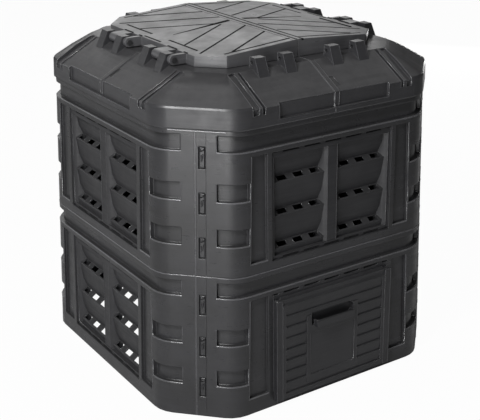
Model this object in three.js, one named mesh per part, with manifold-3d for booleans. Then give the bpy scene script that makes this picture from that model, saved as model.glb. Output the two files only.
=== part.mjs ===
// A compost bin with a two-flap lid, in millimetres, +Z up, its hatch facing -Y.
//
// Two tiers of four wall panels lock together at the middle of each cut-off corner. They
// carry a hood of four quarters, and two lid flaps turn on pins between the hood's ears.
// Louvre inserts and a sliding hatch fill the windows of the walls.

import * as THREE from 'three';
import { mergeVertices } from 'three/addons/utils/BufferGeometryUtils.js';
import Module from 'manifold-3d';

const wasm = await Module();
wasm.setup();

// Fits
const GAP = 0.3; // between pieces that touch
const OVERRUN = 2; // how far a cutting shape reaches past the face that it opens
const SINK = 2; // how far a joined feature reaches into what carries it

// Plan of the bin, and how its walls lean in
const BIN_WIDTH = 790; // across two faces at the ground
const CORNER_CUT = 126; // what a cut-off corner takes from each face
const CORNER_RADIUS = 70; // round between a face and a corner cut
const ARC_STEPS = 3;
const LEAN = 0.0279; // inward lean of a wall for each millimetre of height
const LEAN_START = 180; // distance from the middle planes where the lean sets in
const LEAN_FULL = 240; // and where it is whole, before the round of the corner

// Wall panels. A drop is measured down from the top of a panel.
const TIER_HEIGHT = 330.5;
const FOOT_HEIGHT = 13.5; // plain foot that the lower tier has in addition
const WALL = 5;
const RECESS_DEPTH = 11; // of the band and of the corner blocks
const RECESS_MARGIN = 5; // how far the material behind a recess reaches past it
const RECESS_LEFT_END = 42; // from the seam at a panel's left end to its band or blocks
const RECESS_RIGHT_END = 36;
const BAND_DROP = 13.5;
const BAND_HEIGHT = 35.5;
const BLOCK_HEIGHT = 39.5;
const BLOCK_LOCK_DISTANCE = 76.5; // from the middle of a lock to the block below it
const BLOCK_CHANNEL_RIB = 4;

// Corner locks: slots in the left end of a panel, hooks on a plate at its right end
const LOCK_COUNT = 3;
const LOCK_WIDTH = 14.5;
const LOCK_HEIGHT = 48;
const SEAM_SHIFT = 4; // from the middle of a corner cut to the seam there
const LOCK_START = 3.2; // from that middle to a slot
const LOCK_FIRST_DROP = 62; // middle of the top lock
const LOCK_LAST_RISE = 66; // middle of the bottom lock above the tier's bottom
const LOWER_LOCK_DROP = 6; // how much lower the locks of the lower tier sit
const PLATE_THICKNESS = 3.5;
const PLATE_OWN_LENGTH = 18; // on its own side of that middle
const PLATE_REACH = 26; // behind the neighbour
const PLATE_END_MARGIN = 14; // to the panel's top and bottom
const HOOK_CLEARANCE = 1.75; // to the slot's edges
const HOOK_SET_BACK = 1.3; // behind the outer face

// Lap joint between a panel and what stands on it
const LAP_THICKNESS = 2.4;
const LAP_HEIGHT = 8;
const LAP_SEAM_DISTANCE = 30;

// Windows and the channels beside them
const WINDOW_WIDTH = 334;
const WINDOW_DROP = 61;
const WINDOW_SILL = 20; // wall below the window, foot apart
const CHANNEL_RIB = 13; // wall between the window and a channel
const CHANNEL_WIDTH = 54;
const CHANNEL_DEPTH = 7;
const CHANNEL_LIFT = 6; // bottom of a channel above the window's

// What fills a window: a front frame set back in it, tabs to its edge, a flange behind
const INSERT_SET_BACK = 4;
const INSERT_DEPTH = 14;
const INSERT_SLIT = 3.2; // dark slit above and below the insert, between the tabs
const TAB_COUNT = 6;
const TAB_WIDTH = 14;
const TAB_EDGE_DISTANCE = 22.8; // from the window's side to the middle of the last tab
const FLANGE_WIDTH = 4; // past the window's edge
const FLANGE_THICKNESS = 2.7;

// Louvres
const INSERT_SIDE_BORDER = 7;
const INSERT_TOP_BORDER = 12;
const INSERT_LOW_BORDER = 5.8;
const MULLION_WIDTH = 26;
const MULLION_SET_BACK = 5;
const MULLION_THICKNESS = 6;
const CHEEK_THICKNESS = 3;
// A cheek's line from its front edge: how far it comes inward, and its depth
const CHEEK_LINE = [[0, 4.5], [6, 9.5], [17, 31]];
const LOUVRE_ROWS = 3;
const LOUVRE_RISE = 3.3; // top of the first row above the window, hidden by the frame
const LOUVRE_SET_BACK = 9.5;
const LOUVRE_PITCH = 76.8;
const LOUVRE_DEPTH = 14.5;
const LOUVRE_THICKNESS = 3;
// A louvre's front side, top to bottom: shares of its depth and of the row's height
const LOUVRE_SHARES = [[0, 0], [0.42, 0.56], [1, 0.86]];
const HOLES_PER_SILL = 3;
const HOLE_WIDTH = 25;
const HOLE_LENGTH = 12.8;
const HOLE_MARGIN = 16.4; // from the end of a row to its first hole
const HOLE_SILL_SHARE = 0.47; // from a sill's back edge to its holes' middle

// Hatch. Distances in front of the wall's outer face are proud values.
const HATCH_BORDER = 17; // from the window's side to the opening in the hatch's frame
const HATCH_OPENING_LOW = 45;
const HATCH_OPENING_HIGH = 262;
const RAIL_PROUD = 15;
const RAIL_LOW = 16;
const RAIL_HIGH = 268;
const RAIL_SIDE = 5.5; // thickness of a rail's outer wall
const RAIL_LIP = 3; // thickness of a rail's lip
const RAIL_SLOT = 11; // how far the door's edge lies below the lip
const RAIL_STOP = 2.7; // height of the stop under each edge of the door
const DOOR_GAP = 0.5; // to the rails
const DOOR_BACK_PROUD = 1.3;
const DOOR_HIGH = 272;
const DOOR_BEVEL = 17; // height of the slanting top edge
const DOOR_SHEET = 8;
const DOOR_RIM = 4.5; // wall round the hollow back of the door
const SLAT_COUNT = 8;
const SLAT_PITCH = 28;
const SLAT_DEPTH = 3;
const SLAT_MARGIN = 8; // from the door's sides to the slats
const PANEL_WIDTH = 149; // plain block in the middle of the slats
const PANEL_OFFSET = -7.4; // of that block, its plate and the pull from the door's middle
const PANEL_LOW = 40;
const PANEL_HIGH = 212;
const PLATE_WIDTH = 129; // bare plate on that block
const PLATE_LOW = 59.5;
const PLATE_HIGH = 165;
const PLATE_DEPTH = 1;
const PULL_WIDTH = 124; // finger pocket
const PULL_LOW = 186;
const PULL_HIGH = 216;
const PULL_DEPTH = 10;
const PULL_WALL = 5;
const PULL_LIP_WIDTH = 108; // cup in front of the pocket, open at its top
const PULL_LIP_REACH = 12;
const PULL_LIP_WALL = 4;
const PULL_LIP_HIGH = 198;

// Hood. A rise is measured up from the top of the walls.
const HOOD_WALL = 5;
const HOOD_RISE = 95; // to the ledge
const LEDGE_HALF = 281.5; // from the middle to the outer edge of the ledge
const LEDGE_VERTEX = 213; // where that edge turns into a corner
const LEDGE_RADIUS = 10;
const RIM_PROUD = 5; // in front of the walls
const RIM_RISE = 41; // to the outer edge of a side slope
const CORNER_EDGE_RISE = 46; // to the rounded edge of a corner
const CORNER_EDGE_RUN = 2.6;
const CORNER_TOP_RISE = 49.5;
const CORNER_TOP_RUN = 9;
const CORNER_BULGE = 3; // of a corner over a straight slope, half way up
const CORNER_START = 209; // from the middle of a side to where a corner begins
const RIM_RECESS_HALF = 150; // half the length of the recess in a side of the rim
const RIM_RECESS_DEPTH = 6;
const RIM_SHELF = 3; // material between the lap joint and that recess
const GROOVE_FLOOR = 5; // material below a groove
const GROOVE_NOTCH_RISE = 27; // from the walls' top to a groove's notch in the rim
const GROOVE_END_RUN = 2; // from a groove's upper end to the ledge's edge
const NARROW_GROOVE_START = 186;
const NARROW_GROOVE_WIDTH = 7;
const NARROW_GROOVE_DEPTH = 8;
const WIDE_GROOVE_START = 201;
const WIDE_GROOVE_WIDTH = 16;
const WIDE_GROOVE_DEPTH = 4;
const COLLAR_HALF = 236;
const COLLAR_THICKNESS = 4.5;
const COLLAR_HEIGHT = 10;

// Seams between hood quarters: strip on one, flap of the other below it, clip through both
const STRIP_WIDTH = 13;
const STRIP_PROUD = 1.2;
const FLAP_REACH = 30;
const FLAP_OWN = 14;
const FLAP_THICKNESS = 3.5;
const FLAP_INNER = 300; // from the middle of the bin
const FLAP_OUTER = 364;
const CLIP_OFFSET = 20; // from the seam to the middle of the clip
const CLIP_WIDTH = 12;
const CLIP_INNER = 333;
const CLIP_OUTER = 358;
const CLIP_SET_BACK = 1;
const CLIP_SHOULDER = 4; // from the slot's edge to the stem's hole in the flap
const CLIP_BARB = 2.6; // length of the clip below the flap

// Lid
const LID_HALF = 244;
const LID_CUT = 51.6;
const LID_RADIUS = 4;
const LID_WALL = 4.5;
const LID_EDGE_RISE = 23.8; // from the ledge to the lid's top at the hinges
const LID_RIDGE_RISE = 40.7;
const LID_LEDGE_GAP = 0.4;
const SPLIT_OFFSET = -4; // where the flaps meet
const SPLIT_STRIP = 12; // strip along the split on the right flap
const SPLIT_WALL_RISE = 11; // bottom of a flap's wall at the split, above the ledge
const LINE_WIDTH = 3; // of a groove in the lid's top
const LINE_DEPTH = 1.6;
// Places on the lid as shares of its half width: from the split, then from its middle line
const FAN_SHARES = [
  [[0.225, 0.025], [0.865, 0.414]],
  [[0.075, 0.23], [0.91, 0.754]],
  [[0.075, 0.549], [0.668, 0.91]],
];
const BORDER_SHARES = [
  [[0.055, 0.915], [0.765, 0.93]],
  [[0.88, 0.165], [0.88, 0.655]],
];
const HINGE_LINE_SHARES = [[0.967, -0.15], [0.967, 0.15]];
const CREASE_SHARES = [[0.085, 0.025], [0.085, 0.07], [0.746, -0.02]];

// Hinges. A pair of ears holds one pin, and each flap has two pairs.
const PIVOT_DISTANCE = 32; // outside the lid's edge
const PIVOT_RISE = 13; // above the ledge
const EAR_PAIR_OFFSET = 100.5; // middle of a pair from the middle of its side
const EAR_SPACING = 73;
const EAR_WIDTH = 27;
const EAR_TOP = 12.5; // above the pivot
const EAR_TOP_OUTER = 12; // from the pivot outward
const EAR_TOP_INNER = 8; // from the pivot inward
const EAR_FOOT_OUTER = 31;
const EAR_FOOT_INNER = 10;
const ARM_WIDTH = 36; // of the arm between the ears
const SIDE_ARM_WIDTH = 11; // of the arm beside them
const SIDE_ARM_GAP = 0.6;
const ARM_RADIUS = 11;
const PIN_RADIUS = 4;
const PIN_HEAD_RADIUS = 6.5;
const PIN_HEAD_LENGTH = 3;
const ROUND_SIDES = 12;

// Looks
const WALL_COLOUR = '#2f3032';
const HOOD_COLOUR = '#36373a';
const LID_COLOUR = '#47484b';
const INSERT_COLOUR = '#2a2b2d';
const HATCH_COLOUR = '#28292b';
const FITTING_COLOUR = '#1f2022';
const SATIN = 0.48;

// Sizes that follow
const EIGHTH_TURN = Math.PI / 4;
const TAN_HALF_EIGHTH = Math.tan(EIGHTH_TURN / 2);
const HALF = BIN_WIDTH / 2;
const VERTEX = HALF - CORNER_CUT;
const LOWER_TOP = FOOT_HEIGHT + TIER_HEIGHT;
const WALL_TOP = LOWER_TOP + TIER_HEIGHT;
const LEDGE = WALL_TOP + HOOD_RISE;
const WINDOW_HEIGHT = TIER_HEIGHT - WINDOW_DROP - WINDOW_SILL;
const PIVOT = LID_HALF + PIVOT_DISTANCE;
const PIVOT_HEIGHT = LEDGE + PIVOT_RISE;
const TALL = LEDGE + BIN_WIDTH; // higher than everything

// Solids and meshes

// A closed geometry as a solid that can be joined and cut.
function toSolid(geometry) {
  geometry.deleteAttribute('normal');
  geometry.deleteAttribute('uv');
  const merged = mergeVertices(geometry);
  return new wasm.Manifold(new wasm.Mesh({
    numProp: 3,
    vertProperties: new Float32Array(merged.getAttribute('position').array),
    triVerts: new Uint32Array(merged.index.array),
  }));
}

function toGeometry(solid) {
  const mesh = solid.getMesh();
  const geometry = new THREE.BufferGeometry();
  geometry.setAttribute('position', new THREE.BufferAttribute(mesh.vertProperties, 3));
  geometry.setIndex(new THREE.BufferAttribute(mesh.triVerts, 1));
  return geometry;
}

const join = (...solids) => solids.reduce((whole, solid) => whole.add(solid));
const cut = (solid, ...tools) => tools.reduce((rest, tool) => rest.subtract(tool), solid);
const common = (...solids) => solids.reduce((shared, solid) => shared.intersect(solid));

// The same features on another side of the bin: +1 turns the front to the right side.
function turned(solid, quarters) {
  return toSolid(toGeometry(solid).rotateZ(quarters * Math.PI / 2));
}

const point = (across, along) => new THREE.Vector2(across, along);
const flipped = (points) => points.map(({ x, y }) => point(-x, y)).reverse();

// A plan outline raised from one height to another.
function upright(outline, low, high) {
  const geometry = new THREE.ExtrudeGeometry(new THREE.Shape(outline), {
    depth: high - low,
    bevelEnabled: false,
  });
  return toSolid(geometry.translate(0, 0, low));
}

// An outline of (y, z) points drawn out along X.
function crosswise(outline, left, right) {
  const geometry = new THREE.ExtrudeGeometry(new THREE.Shape(outline), {
    depth: right - left,
    bevelEnabled: false,
  });
  const toFront = new THREE.Matrix4().makeBasis(
    new THREE.Vector3(0, 1, 0),
    new THREE.Vector3(0, 0, 1),
    new THREE.Vector3(1, 0, 0),
  );
  return toSolid(geometry.applyMatrix4(toFront).translate(left, 0, 0));
}

// The same on the front side, from points given as (distance from the middle, height).
function sideways(outline, left, right) {
  return crosswise(outline.map(({ x, y }) => point(-x, y)), left, right);
}

function block([left, right], [front, back], [low, high]) {
  const geometry = new THREE.BoxGeometry(right - left, back - front, high - low);
  return toSolid(geometry.translate((left + right) / 2, (front + back) / 2, (low + high) / 2));
}

// A block at the front wall, from a shallow to a deep distance behind its outer face.
function faceBlock([left, right], [shallow, deep], [low, high]) {
  return block([left, right], [shallow - HALF, deep - HALF], [low, high]);
}

// A round bar along X at the hinge line of the front side.
function bar(radius, left, right) {
  const geometry = new THREE.CylinderGeometry(radius, radius, right - left, ROUND_SIDES);
  return toSolid(geometry.rotateZ(Math.PI / 2).translate((left + right) / 2, -PIVOT, PIVOT_HEIGHT));
}

// The lean of the walls. Only what lies outside LEAN_START moves, so windows stay upright
// rectangles and the corner cuts stay flat.
function leaned(place, height) {
  const share = (Math.abs(place) - LEAN_START) / (LEAN_FULL - LEAN_START);
  return place - Math.sign(place) * Math.min(Math.max(share, 0), 1) * LEAN * height;
}

function lean(geometry) {
  const places = geometry.getAttribute('position');
  for (let index = 0; index < places.count; index += 1) {
    const height = places.getZ(index);
    places.setX(index, leaned(places.getX(index), height));
    places.setY(index, leaned(places.getY(index), height));
  }
  return geometry;
}

// The hatch and its frame slide on each other, so they lean as a whole.
function leanTogether(geometry) {
  const places = geometry.getAttribute('position');
  for (let index = 0; index < places.count; index += 1) {
    places.setY(index, places.getY(index) + LEAN * places.getZ(index));
  }
  return geometry;
}

// Wall panels

// A point of the left corner cut, its distance from the seam measured towards the front.
function cutPoint(depth, fromSeam) {
  const along = fromSeam * Math.SQRT1_2;
  const middle = (HALF + VERTEX) / 2 - depth * Math.SQRT1_2;
  return point(along - middle, -along - middle);
}

// The panel's plan at a depth, from the left corner cut round to where its face begins.
function cornerLine(depth, fromSeam) {
  const centre = point(CORNER_RADIUS * TAN_HALF_EIGHTH - VERTEX, CORNER_RADIUS - HALF);
  const line = [cutPoint(depth, fromSeam)];
  for (let step = 0; step <= ARC_STEPS; step += 1) {
    const angle = EIGHTH_TURN * (5 + step / ARC_STEPS);
    const spoke = point(Math.cos(angle), Math.sin(angle)).multiplyScalar(CORNER_RADIUS - depth);
    line.push(spoke.add(centre));
  }
  return line;
}

// A layer of the whole panel between two depths, ending at a distance from either seam.
function wallLayer([shallow, deep], [fromLeft, fromRight], [low, high]) {
  const across = (depth) => [...cornerLine(depth, fromLeft), ...flipped(cornerLine(depth, fromRight))];
  return upright([...across(shallow), ...across(deep).reverse()], low, high);
}

// Layers of both corners only, from the cut round to a place on the face.
function cornerLayers([shallow, deep], seamEnds, acrossFace, heights) {
  const middle = [-acrossFace, acrossFace];
  return cut(
    wallLayer([shallow, deep], seamEnds, heights),
    faceBlock(middle, grown([shallow, deep], OVERRUN), grown(heights, OVERRUN)),
  );
}

function bothSides([inner, outer], depths, heights) {
  return join(faceBlock([inner, outer], depths, heights), faceBlock([-outer, -inner], depths, heights));
}

// Middle heights of the corner locks of a tier.
function lockHeights(top) {
  const pitch = (TIER_HEIGHT - LOCK_FIRST_DROP - LOCK_LAST_RISE) / (LOCK_COUNT - 1);
  const first = top - LOCK_FIRST_DROP - (top === LOWER_TOP ? LOWER_LOCK_DROP : 0);
  return Array.from({ length: LOCK_COUNT }, (_, index) => first - index * pitch);
}

const CHANNEL_INNER = WINDOW_WIDTH / 2 + CHANNEL_RIB;
const CHANNEL_OUTER = CHANNEL_INNER + CHANNEL_WIDTH;
const BLOCK_END = CHANNEL_OUTER + BLOCK_CHANNEL_RIB;
const RECESS_ENDS = [RECESS_LEFT_END, RECESS_RIGHT_END];
const RECESS_BACKING = [WALL - SINK, RECESS_DEPTH + WALL];
const JOINT_ENDS = [GAP / 2 - SEAM_SHIFT, GAP / 2 + SEAM_SHIFT];
const LAP_ENDS = [LAP_SEAM_DISTANCE, LAP_SEAM_DISTANCE];

function windowHeights(top) {
  return [top - WINDOW_DROP - WINDOW_HEIGHT, top - WINDOW_DROP];
}

function grown([low, high], margin) {
  return [low - margin, high + margin];
}

// A plate behind the right-hand neighbour, with hooks that show in its slots.
function lockPlate([low, high]) {
  const front = WALL + GAP;
  const back = front + PLATE_THICKNESS;
  const strip = (shallow, deep, from, to, heights) => upright(flipped([
    cutPoint(shallow, from), cutPoint(shallow, to), cutPoint(deep, to), cutPoint(deep, from),
  ]), ...heights);
  const heights = grown([low, high], -PLATE_END_MARGIN);
  const hookEnds = [LOCK_START + HOOK_CLEARANCE, LOCK_START + LOCK_WIDTH - HOOK_CLEARANCE];
  const hooks = lockHeights(high).map((middle) => strip(
    HOOK_SET_BACK, front + SINK, -hookEnds[1], -hookEnds[0],
    grown([middle, middle], LOCK_HEIGHT / 2 - HOOK_CLEARANCE),
  ));
  return join(
    strip(front, back, -PLATE_REACH, PLATE_OWN_LENGTH, heights),
    strip(WALL - SINK, back, JOINT_ENDS[1], PLATE_OWN_LENGTH, heights),
    ...hooks,
  );
}

function lockSlots(high) {
  return lockHeights(high).map((middle) => upright([
    cutPoint(-OVERRUN, LOCK_START),
    cutPoint(-OVERRUN, LOCK_START + LOCK_WIDTH),
    cutPoint(WALL + OVERRUN, LOCK_START + LOCK_WIDTH),
    cutPoint(WALL + OVERRUN, LOCK_START),
  ], ...grown([middle, middle], LOCK_HEIGHT / 2)));
}

function wallPanel(low, high, standsOnPanel) {
  const band = [high - BAND_DROP - BAND_HEIGHT, high - BAND_DROP];
  const blocks = lockHeights(high).slice(0, -1).map((middle) => (
    grown([middle - BLOCK_LOCK_DISTANCE, middle - BLOCK_LOCK_DISTANCE], BLOCK_HEIGHT / 2)
  ));
  const [windowLow, windowHigh] = windowHeights(high);
  const channel = [windowLow + CHANNEL_LIFT, windowHigh];
  const backingEnds = RECESS_ENDS.map((end) => end - RECESS_MARGIN);
  const solid = join(
    wallLayer([0, WALL], JOINT_ENDS, [low, high]),
    wallLayer(RECESS_BACKING, backingEnds, grown(band, RECESS_MARGIN)),
    ...blocks.map((heights) => cornerLayers(
      RECESS_BACKING, backingEnds, BLOCK_END - RECESS_MARGIN, grown(heights, RECESS_MARGIN),
    )),
    bothSides(
      [WINDOW_WIDTH / 2 + FLANGE_WIDTH + GAP, CHANNEL_OUTER + RECESS_MARGIN],
      [WALL - SINK, CHANNEL_DEPTH + WALL],
      grown(channel, RECESS_MARGIN),
    ),
    lockPlate([low, high]),
    wallLayer([WALL - LAP_THICKNESS, WALL], LAP_ENDS, [high - SINK, high + LAP_HEIGHT]),
  );
  const tools = [
    wallLayer([-OVERRUN, RECESS_DEPTH], RECESS_ENDS, band),
    ...blocks.map((heights) => cornerLayers(
      [-OVERRUN, RECESS_DEPTH], RECESS_ENDS, BLOCK_END, heights,
    )),
    bothSides([CHANNEL_INNER, CHANNEL_OUTER], [-OVERRUN, CHANNEL_DEPTH], channel),
    faceBlock([-WINDOW_WIDTH / 2, WINDOW_WIDTH / 2], [-OVERRUN, WALL + OVERRUN], [windowLow, windowHigh]),
    ...lockSlots(high),
  ];
  if (standsOnPanel) {
    tools.push(wallLayer(
      [WALL - LAP_THICKNESS - GAP, WALL + OVERRUN],
      LAP_ENDS.map((end) => end - GAP),
      [low - OVERRUN, low + LAP_HEIGHT + GAP],
    ));
  }
  return lean(toGeometry(cut(solid, ...tools)));
}

// Window inserts

// Frame of an insert: a ring set in the window, tabs to its edges and a flange behind it.
function insertFrame(heights, setBack, openingHalf, [openingLow, openingHigh]) {
  const [low, high] = heights;
  const side = WINDOW_WIDTH / 2 - GAP;
  const tabBack = WALL + GAP + FLANGE_THICKNESS / 2;
  const tabPitch = (WINDOW_WIDTH - 2 * TAB_EDGE_DISTANCE) / (TAB_COUNT - 1);
  const tabs = Array.from({ length: TAB_COUNT }, (_, index) => {
    const middle = (index - (TAB_COUNT - 1) / 2) * tabPitch;
    return faceBlock(grown([middle, middle], TAB_WIDTH / 2), [setBack, tabBack], grown(heights, -GAP));
  });
  return cut(
    join(
      faceBlock([-side, side], [setBack, INSERT_DEPTH], [low + INSERT_SLIT, high - INSERT_SLIT]),
      faceBlock(
        grown([-side, side], FLANGE_WIDTH),
        [WALL + GAP, WALL + GAP + FLANGE_THICKNESS],
        grown(heights, FLANGE_WIDTH),
      ),
      ...tabs,
    ),
    faceBlock(
      [-openingHalf, openingHalf],
      [-OVERRUN, INSERT_DEPTH + OVERRUN],
      [openingLow, openingHigh],
    ),
  );
}

// A bent sheet: the line of its front side and that line moved by the sheet's thickness.
function thickened(line, thickness) {
  const normals = line.slice(1).map((end, index) => {
    const direction = end.clone().sub(line[index]).normalize();
    return point(-direction.y, direction.x);
  });
  const back = line.map((corner, index) => {
    const before = normals[Math.max(index - 1, 0)];
    const after = normals[Math.min(index, normals.length - 1)];
    const mitre = before.clone().add(after).normalize();
    return mitre.multiplyScalar(thickness / mitre.dot(before)).add(corner);
  });
  return [...line, ...back.reverse()];
}

// Plan line of a cheek from its front edge back. Inward is 1 where that is to the right.
function cheekLine(start, inward) {
  return CHEEK_LINE.map(([run, depth]) => point(start + inward * run, depth - HALF));
}

// Plan of the space between two cheeks, widened by a margin.
function cellPlan([left, right], margin) {
  return [...cheekLine(left - margin, 1), ...cheekLine(right + margin, -1).reverse()];
}

function louvreInsert(top) {
  const heights = windowHeights(top);
  const openingHalf = WINDOW_WIDTH / 2 - INSERT_SIDE_BORDER;
  const openingLow = heights[0] + INSERT_SLIT + INSERT_LOW_BORDER;
  const openingHigh = heights[1] - INSERT_SLIT - INSERT_TOP_BORDER;
  const cell = [MULLION_WIDTH / 2, openingHalf];

  // Front side of the louvres of one column, from the top row down
  const place = (row, [depthShare, dropShare]) => point(
    LOUVRE_SET_BACK + depthShare * LOUVRE_DEPTH - HALF,
    heights[1] + LOUVRE_RISE - (row + dropShare) * LOUVRE_PITCH,
  );
  const line = [];
  for (let row = 0; row < LOUVRE_ROWS; row += 1) {
    line.push(...LOUVRE_SHARES.map((share) => place(row, share)));
  }
  line.push(...LOUVRE_SHARES.slice(0, 2).map((share) => place(LOUVRE_ROWS, share)));
  const sheet = thickened(line, LOUVRE_THICKNESS);

  // A hole lies along the sill that runs from a louvre's back edge to the next louvre
  const hole = (row, middle) => {
    const back = place(row, LOUVRE_SHARES[LOUVRE_SHARES.length - 1]);
    const front = place(row + 1, LOUVRE_SHARES[0]);
    const along = front.clone().sub(back);
    const centre = along.clone().multiplyScalar(HOLE_SILL_SHARE).add(back);
    const reach = along.normalize().clone().multiplyScalar(HOLE_LENGTH / 2);
    const through = point(-along.y, along.x).multiplyScalar(LOUVRE_THICKNESS + OVERRUN);
    return crosswise([
      centre.clone().sub(reach).sub(through),
      centre.clone().add(reach).sub(through),
      centre.clone().add(reach).add(through),
      centre.clone().sub(reach).add(through),
    ], ...grown([middle, middle], HOLE_WIDTH / 2));
  };

  const solids = [
    insertFrame(heights, INSERT_SET_BACK, openingHalf, [openingLow, openingHigh]),
    faceBlock(
      [-MULLION_WIDTH / 2, MULLION_WIDTH / 2],
      [MULLION_SET_BACK, MULLION_SET_BACK + MULLION_THICKNESS],
      grown([openingLow, openingHigh], GAP),
    ),
  ];
  const holes = [];
  const holePitch = (cell[1] - cell[0] - 2 * HOLE_MARGIN - HOLE_WIDTH) / (HOLES_PER_SILL - 1);
  for (const side of [-1, 1]) {
    const ends = cell.map((end) => side * end).sort((a, b) => a - b);
    solids.push(common(
      crosswise(sheet, ...ends),
      upright(cellPlan(ends, CHEEK_THICKNESS / 2), ...grown([openingLow, openingHigh], SINK)),
    ));
    for (const [line, outward] of [[cheekLine(ends[0], 1), 1], [cheekLine(ends[1], -1), -1]]) {
      const outline = thickened(line, outward * CHEEK_THICKNESS);
      solids.push(upright(outline, ...grown([openingLow, openingHigh], GAP)));
    }
    for (let row = 0; row < LOUVRE_ROWS; row += 1) {
      for (let index = 0; index < HOLES_PER_SILL; index += 1) {
        const first = cell[0] + HOLE_MARGIN + HOLE_WIDTH / 2;
        holes.push(hole(row, side * (first + index * holePitch)));
      }
    }
  }
  return lean(toGeometry(cut(join(...solids), ...holes)));
}

// Hatch

const RAIL_INNER = WINDOW_WIDTH / 2 - HATCH_BORDER;
const RAIL_OUTER = RAIL_INNER + RAIL_SLOT + RAIL_SIDE;
const DOOR_LOW = RAIL_LOW + RAIL_STOP + GAP;

function hatchFrame() {
  const heights = windowHeights(LOWER_TOP);
  const sideWall = [RAIL_INNER + RAIL_SLOT, RAIL_OUTER];
  const rails = join(
    bothSides(sideWall, [-RAIL_PROUD, INSERT_DEPTH], [heights[0] + INSERT_SLIT, RAIL_HIGH]),
    bothSides(sideWall, [-RAIL_PROUD, -GAP], [RAIL_LOW, RAIL_HIGH]),
    bothSides([RAIL_INNER, RAIL_OUTER], [-RAIL_PROUD, RAIL_LIP - RAIL_PROUD], [RAIL_LOW, RAIL_HIGH]),
    bothSides([RAIL_INNER, RAIL_OUTER], [-RAIL_PROUD, -GAP], [RAIL_LOW, RAIL_LOW + RAIL_STOP]),
  );
  const frame = insertFrame(heights, 0, RAIL_INNER, [HATCH_OPENING_LOW, HATCH_OPENING_HIGH]);
  return leanTogether(toGeometry(join(frame, rails)));
}

// Where the front of the door lies, and its edges
const DOOR_HALF = RAIL_INNER - DOOR_GAP;
const DOOR_EDGE_HALF = RAIL_INNER + RAIL_SLOT - DOOR_GAP;

function doorSlats() {
  const highest = DOOR_HIGH - DOOR_BEVEL;
  const front = -HALF - RAIL_PROUD;
  const slats = Array.from({ length: SLAT_COUNT }, (_, index) => {
    const top = highest - index * SLAT_PITCH;
    return crosswise([
      point(front - OVERRUN, top),
      point(front, top),
      point(front + SLAT_DEPTH, top - SLAT_PITCH),
      point(front - OVERRUN, top - SLAT_PITCH),
    ], SLAT_MARGIN - DOOR_HALF, DOOR_HALF - SLAT_MARGIN);
  });
  const depths = grown([-RAIL_PROUD, SLAT_DEPTH - RAIL_PROUD], OVERRUN + OVERRUN);
  return cut(join(...slats), panelBlock(PANEL_WIDTH, depths, [PANEL_LOW, PANEL_HIGH]));
}

// A block of a width about the middle of the plain panel in the door.
function panelBlock(width, depths, heights) {
  return faceBlock(grown([PANEL_OFFSET, PANEL_OFFSET], width / 2), depths, heights);
}

// The finger pocket: square at its left end, round at its right.
function fingerPocket(margin, depths) {
  const radius = (PULL_HIGH - PULL_LOW) / 2 + margin;
  const middle = (PULL_HIGH + PULL_LOW) / 2;
  const [left, right] = grown([PANEL_OFFSET, PANEL_OFFSET], PULL_WIDTH / 2 + margin);
  const straight = faceBlock([left, right - radius], depths, [middle - radius, middle + radius]);
  const [shallow, deep] = depths;
  const round = toSolid(new THREE.CylinderGeometry(radius, radius, deep - shallow, ROUND_SIDES)
    .translate(right - radius, (shallow + deep) / 2 - HALF, middle));
  return join(straight, round);
}

function hatchDoor() {
  const body = crosswise([
    point(-HALF - RAIL_PROUD, DOOR_LOW),
    point(-HALF - DOOR_BACK_PROUD, DOOR_LOW),
    point(-HALF - DOOR_BACK_PROUD, DOOR_HIGH),
    point(-HALF - RAIL_PROUD, DOOR_HIGH - DOOR_BEVEL),
  ], -DOOR_HALF, DOOR_HALF);
  const edges = faceBlock(
    [-DOOR_EDGE_HALF, DOOR_EDGE_HALF],
    [RAIL_LIP + DOOR_GAP - RAIL_PROUD, -DOOR_BACK_PROUD],
    [DOOR_LOW, RAIL_HIGH],
  );
  const lip = panelBlock(
    PULL_LIP_WIDTH,
    [-RAIL_PROUD - PULL_LIP_REACH, SINK - RAIL_PROUD],
    [PULL_LOW - PULL_LIP_WALL, PULL_LIP_HIGH],
  );
  const cup = panelBlock(
    PULL_LIP_WIDTH - 2 * PULL_LIP_WALL,
    [PULL_LIP_WALL - RAIL_PROUD - PULL_LIP_REACH, PULL_DEPTH - RAIL_PROUD],
    [PULL_LOW, PULL_HIGH],
  );
  const hollow = cut(
    faceBlock(
      [DOOR_RIM - DOOR_HALF, DOOR_HALF - DOOR_RIM],
      [DOOR_SHEET - RAIL_PROUD, OVERRUN - DOOR_BACK_PROUD],
      [DOOR_LOW + DOOR_RIM, DOOR_HIGH - DOOR_BEVEL - DOOR_RIM],
    ),
    fingerPocket(PULL_WALL, [-RAIL_PROUD, OVERRUN + OVERRUN]),
  );
  const plate = panelBlock(
    PLATE_WIDTH,
    [-RAIL_PROUD - OVERRUN, PLATE_DEPTH - RAIL_PROUD],
    [PLATE_LOW, PLATE_HIGH],
  );
  const pocket = fingerPocket(0, [-RAIL_PROUD - OVERRUN, PULL_DEPTH - RAIL_PROUD]);
  const panel = cut(join(body, edges), doorSlats(), hollow, plate, pocket);
  return leanTogether(toGeometry(cut(join(panel, lip), cup)));
}

// Hood

// The bin's plan at a height: half its width, where a face ends, and the round there.
function planAt(height, outward) {
  const inward = LEAN * height;
  return {
    half: HALF - inward + outward,
    vertex: VERTEX - inward + outward * TAN_HALF_EIGHTH,
    radius: CORNER_RADIUS + outward,
  };
}

function inset({ half, vertex, radius }, inward) {
  return {
    half: half - inward,
    vertex: vertex - inward * TAN_HALF_EIGHTH,
    radius: Math.max(radius - inward, GAP),
  };
}

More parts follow.
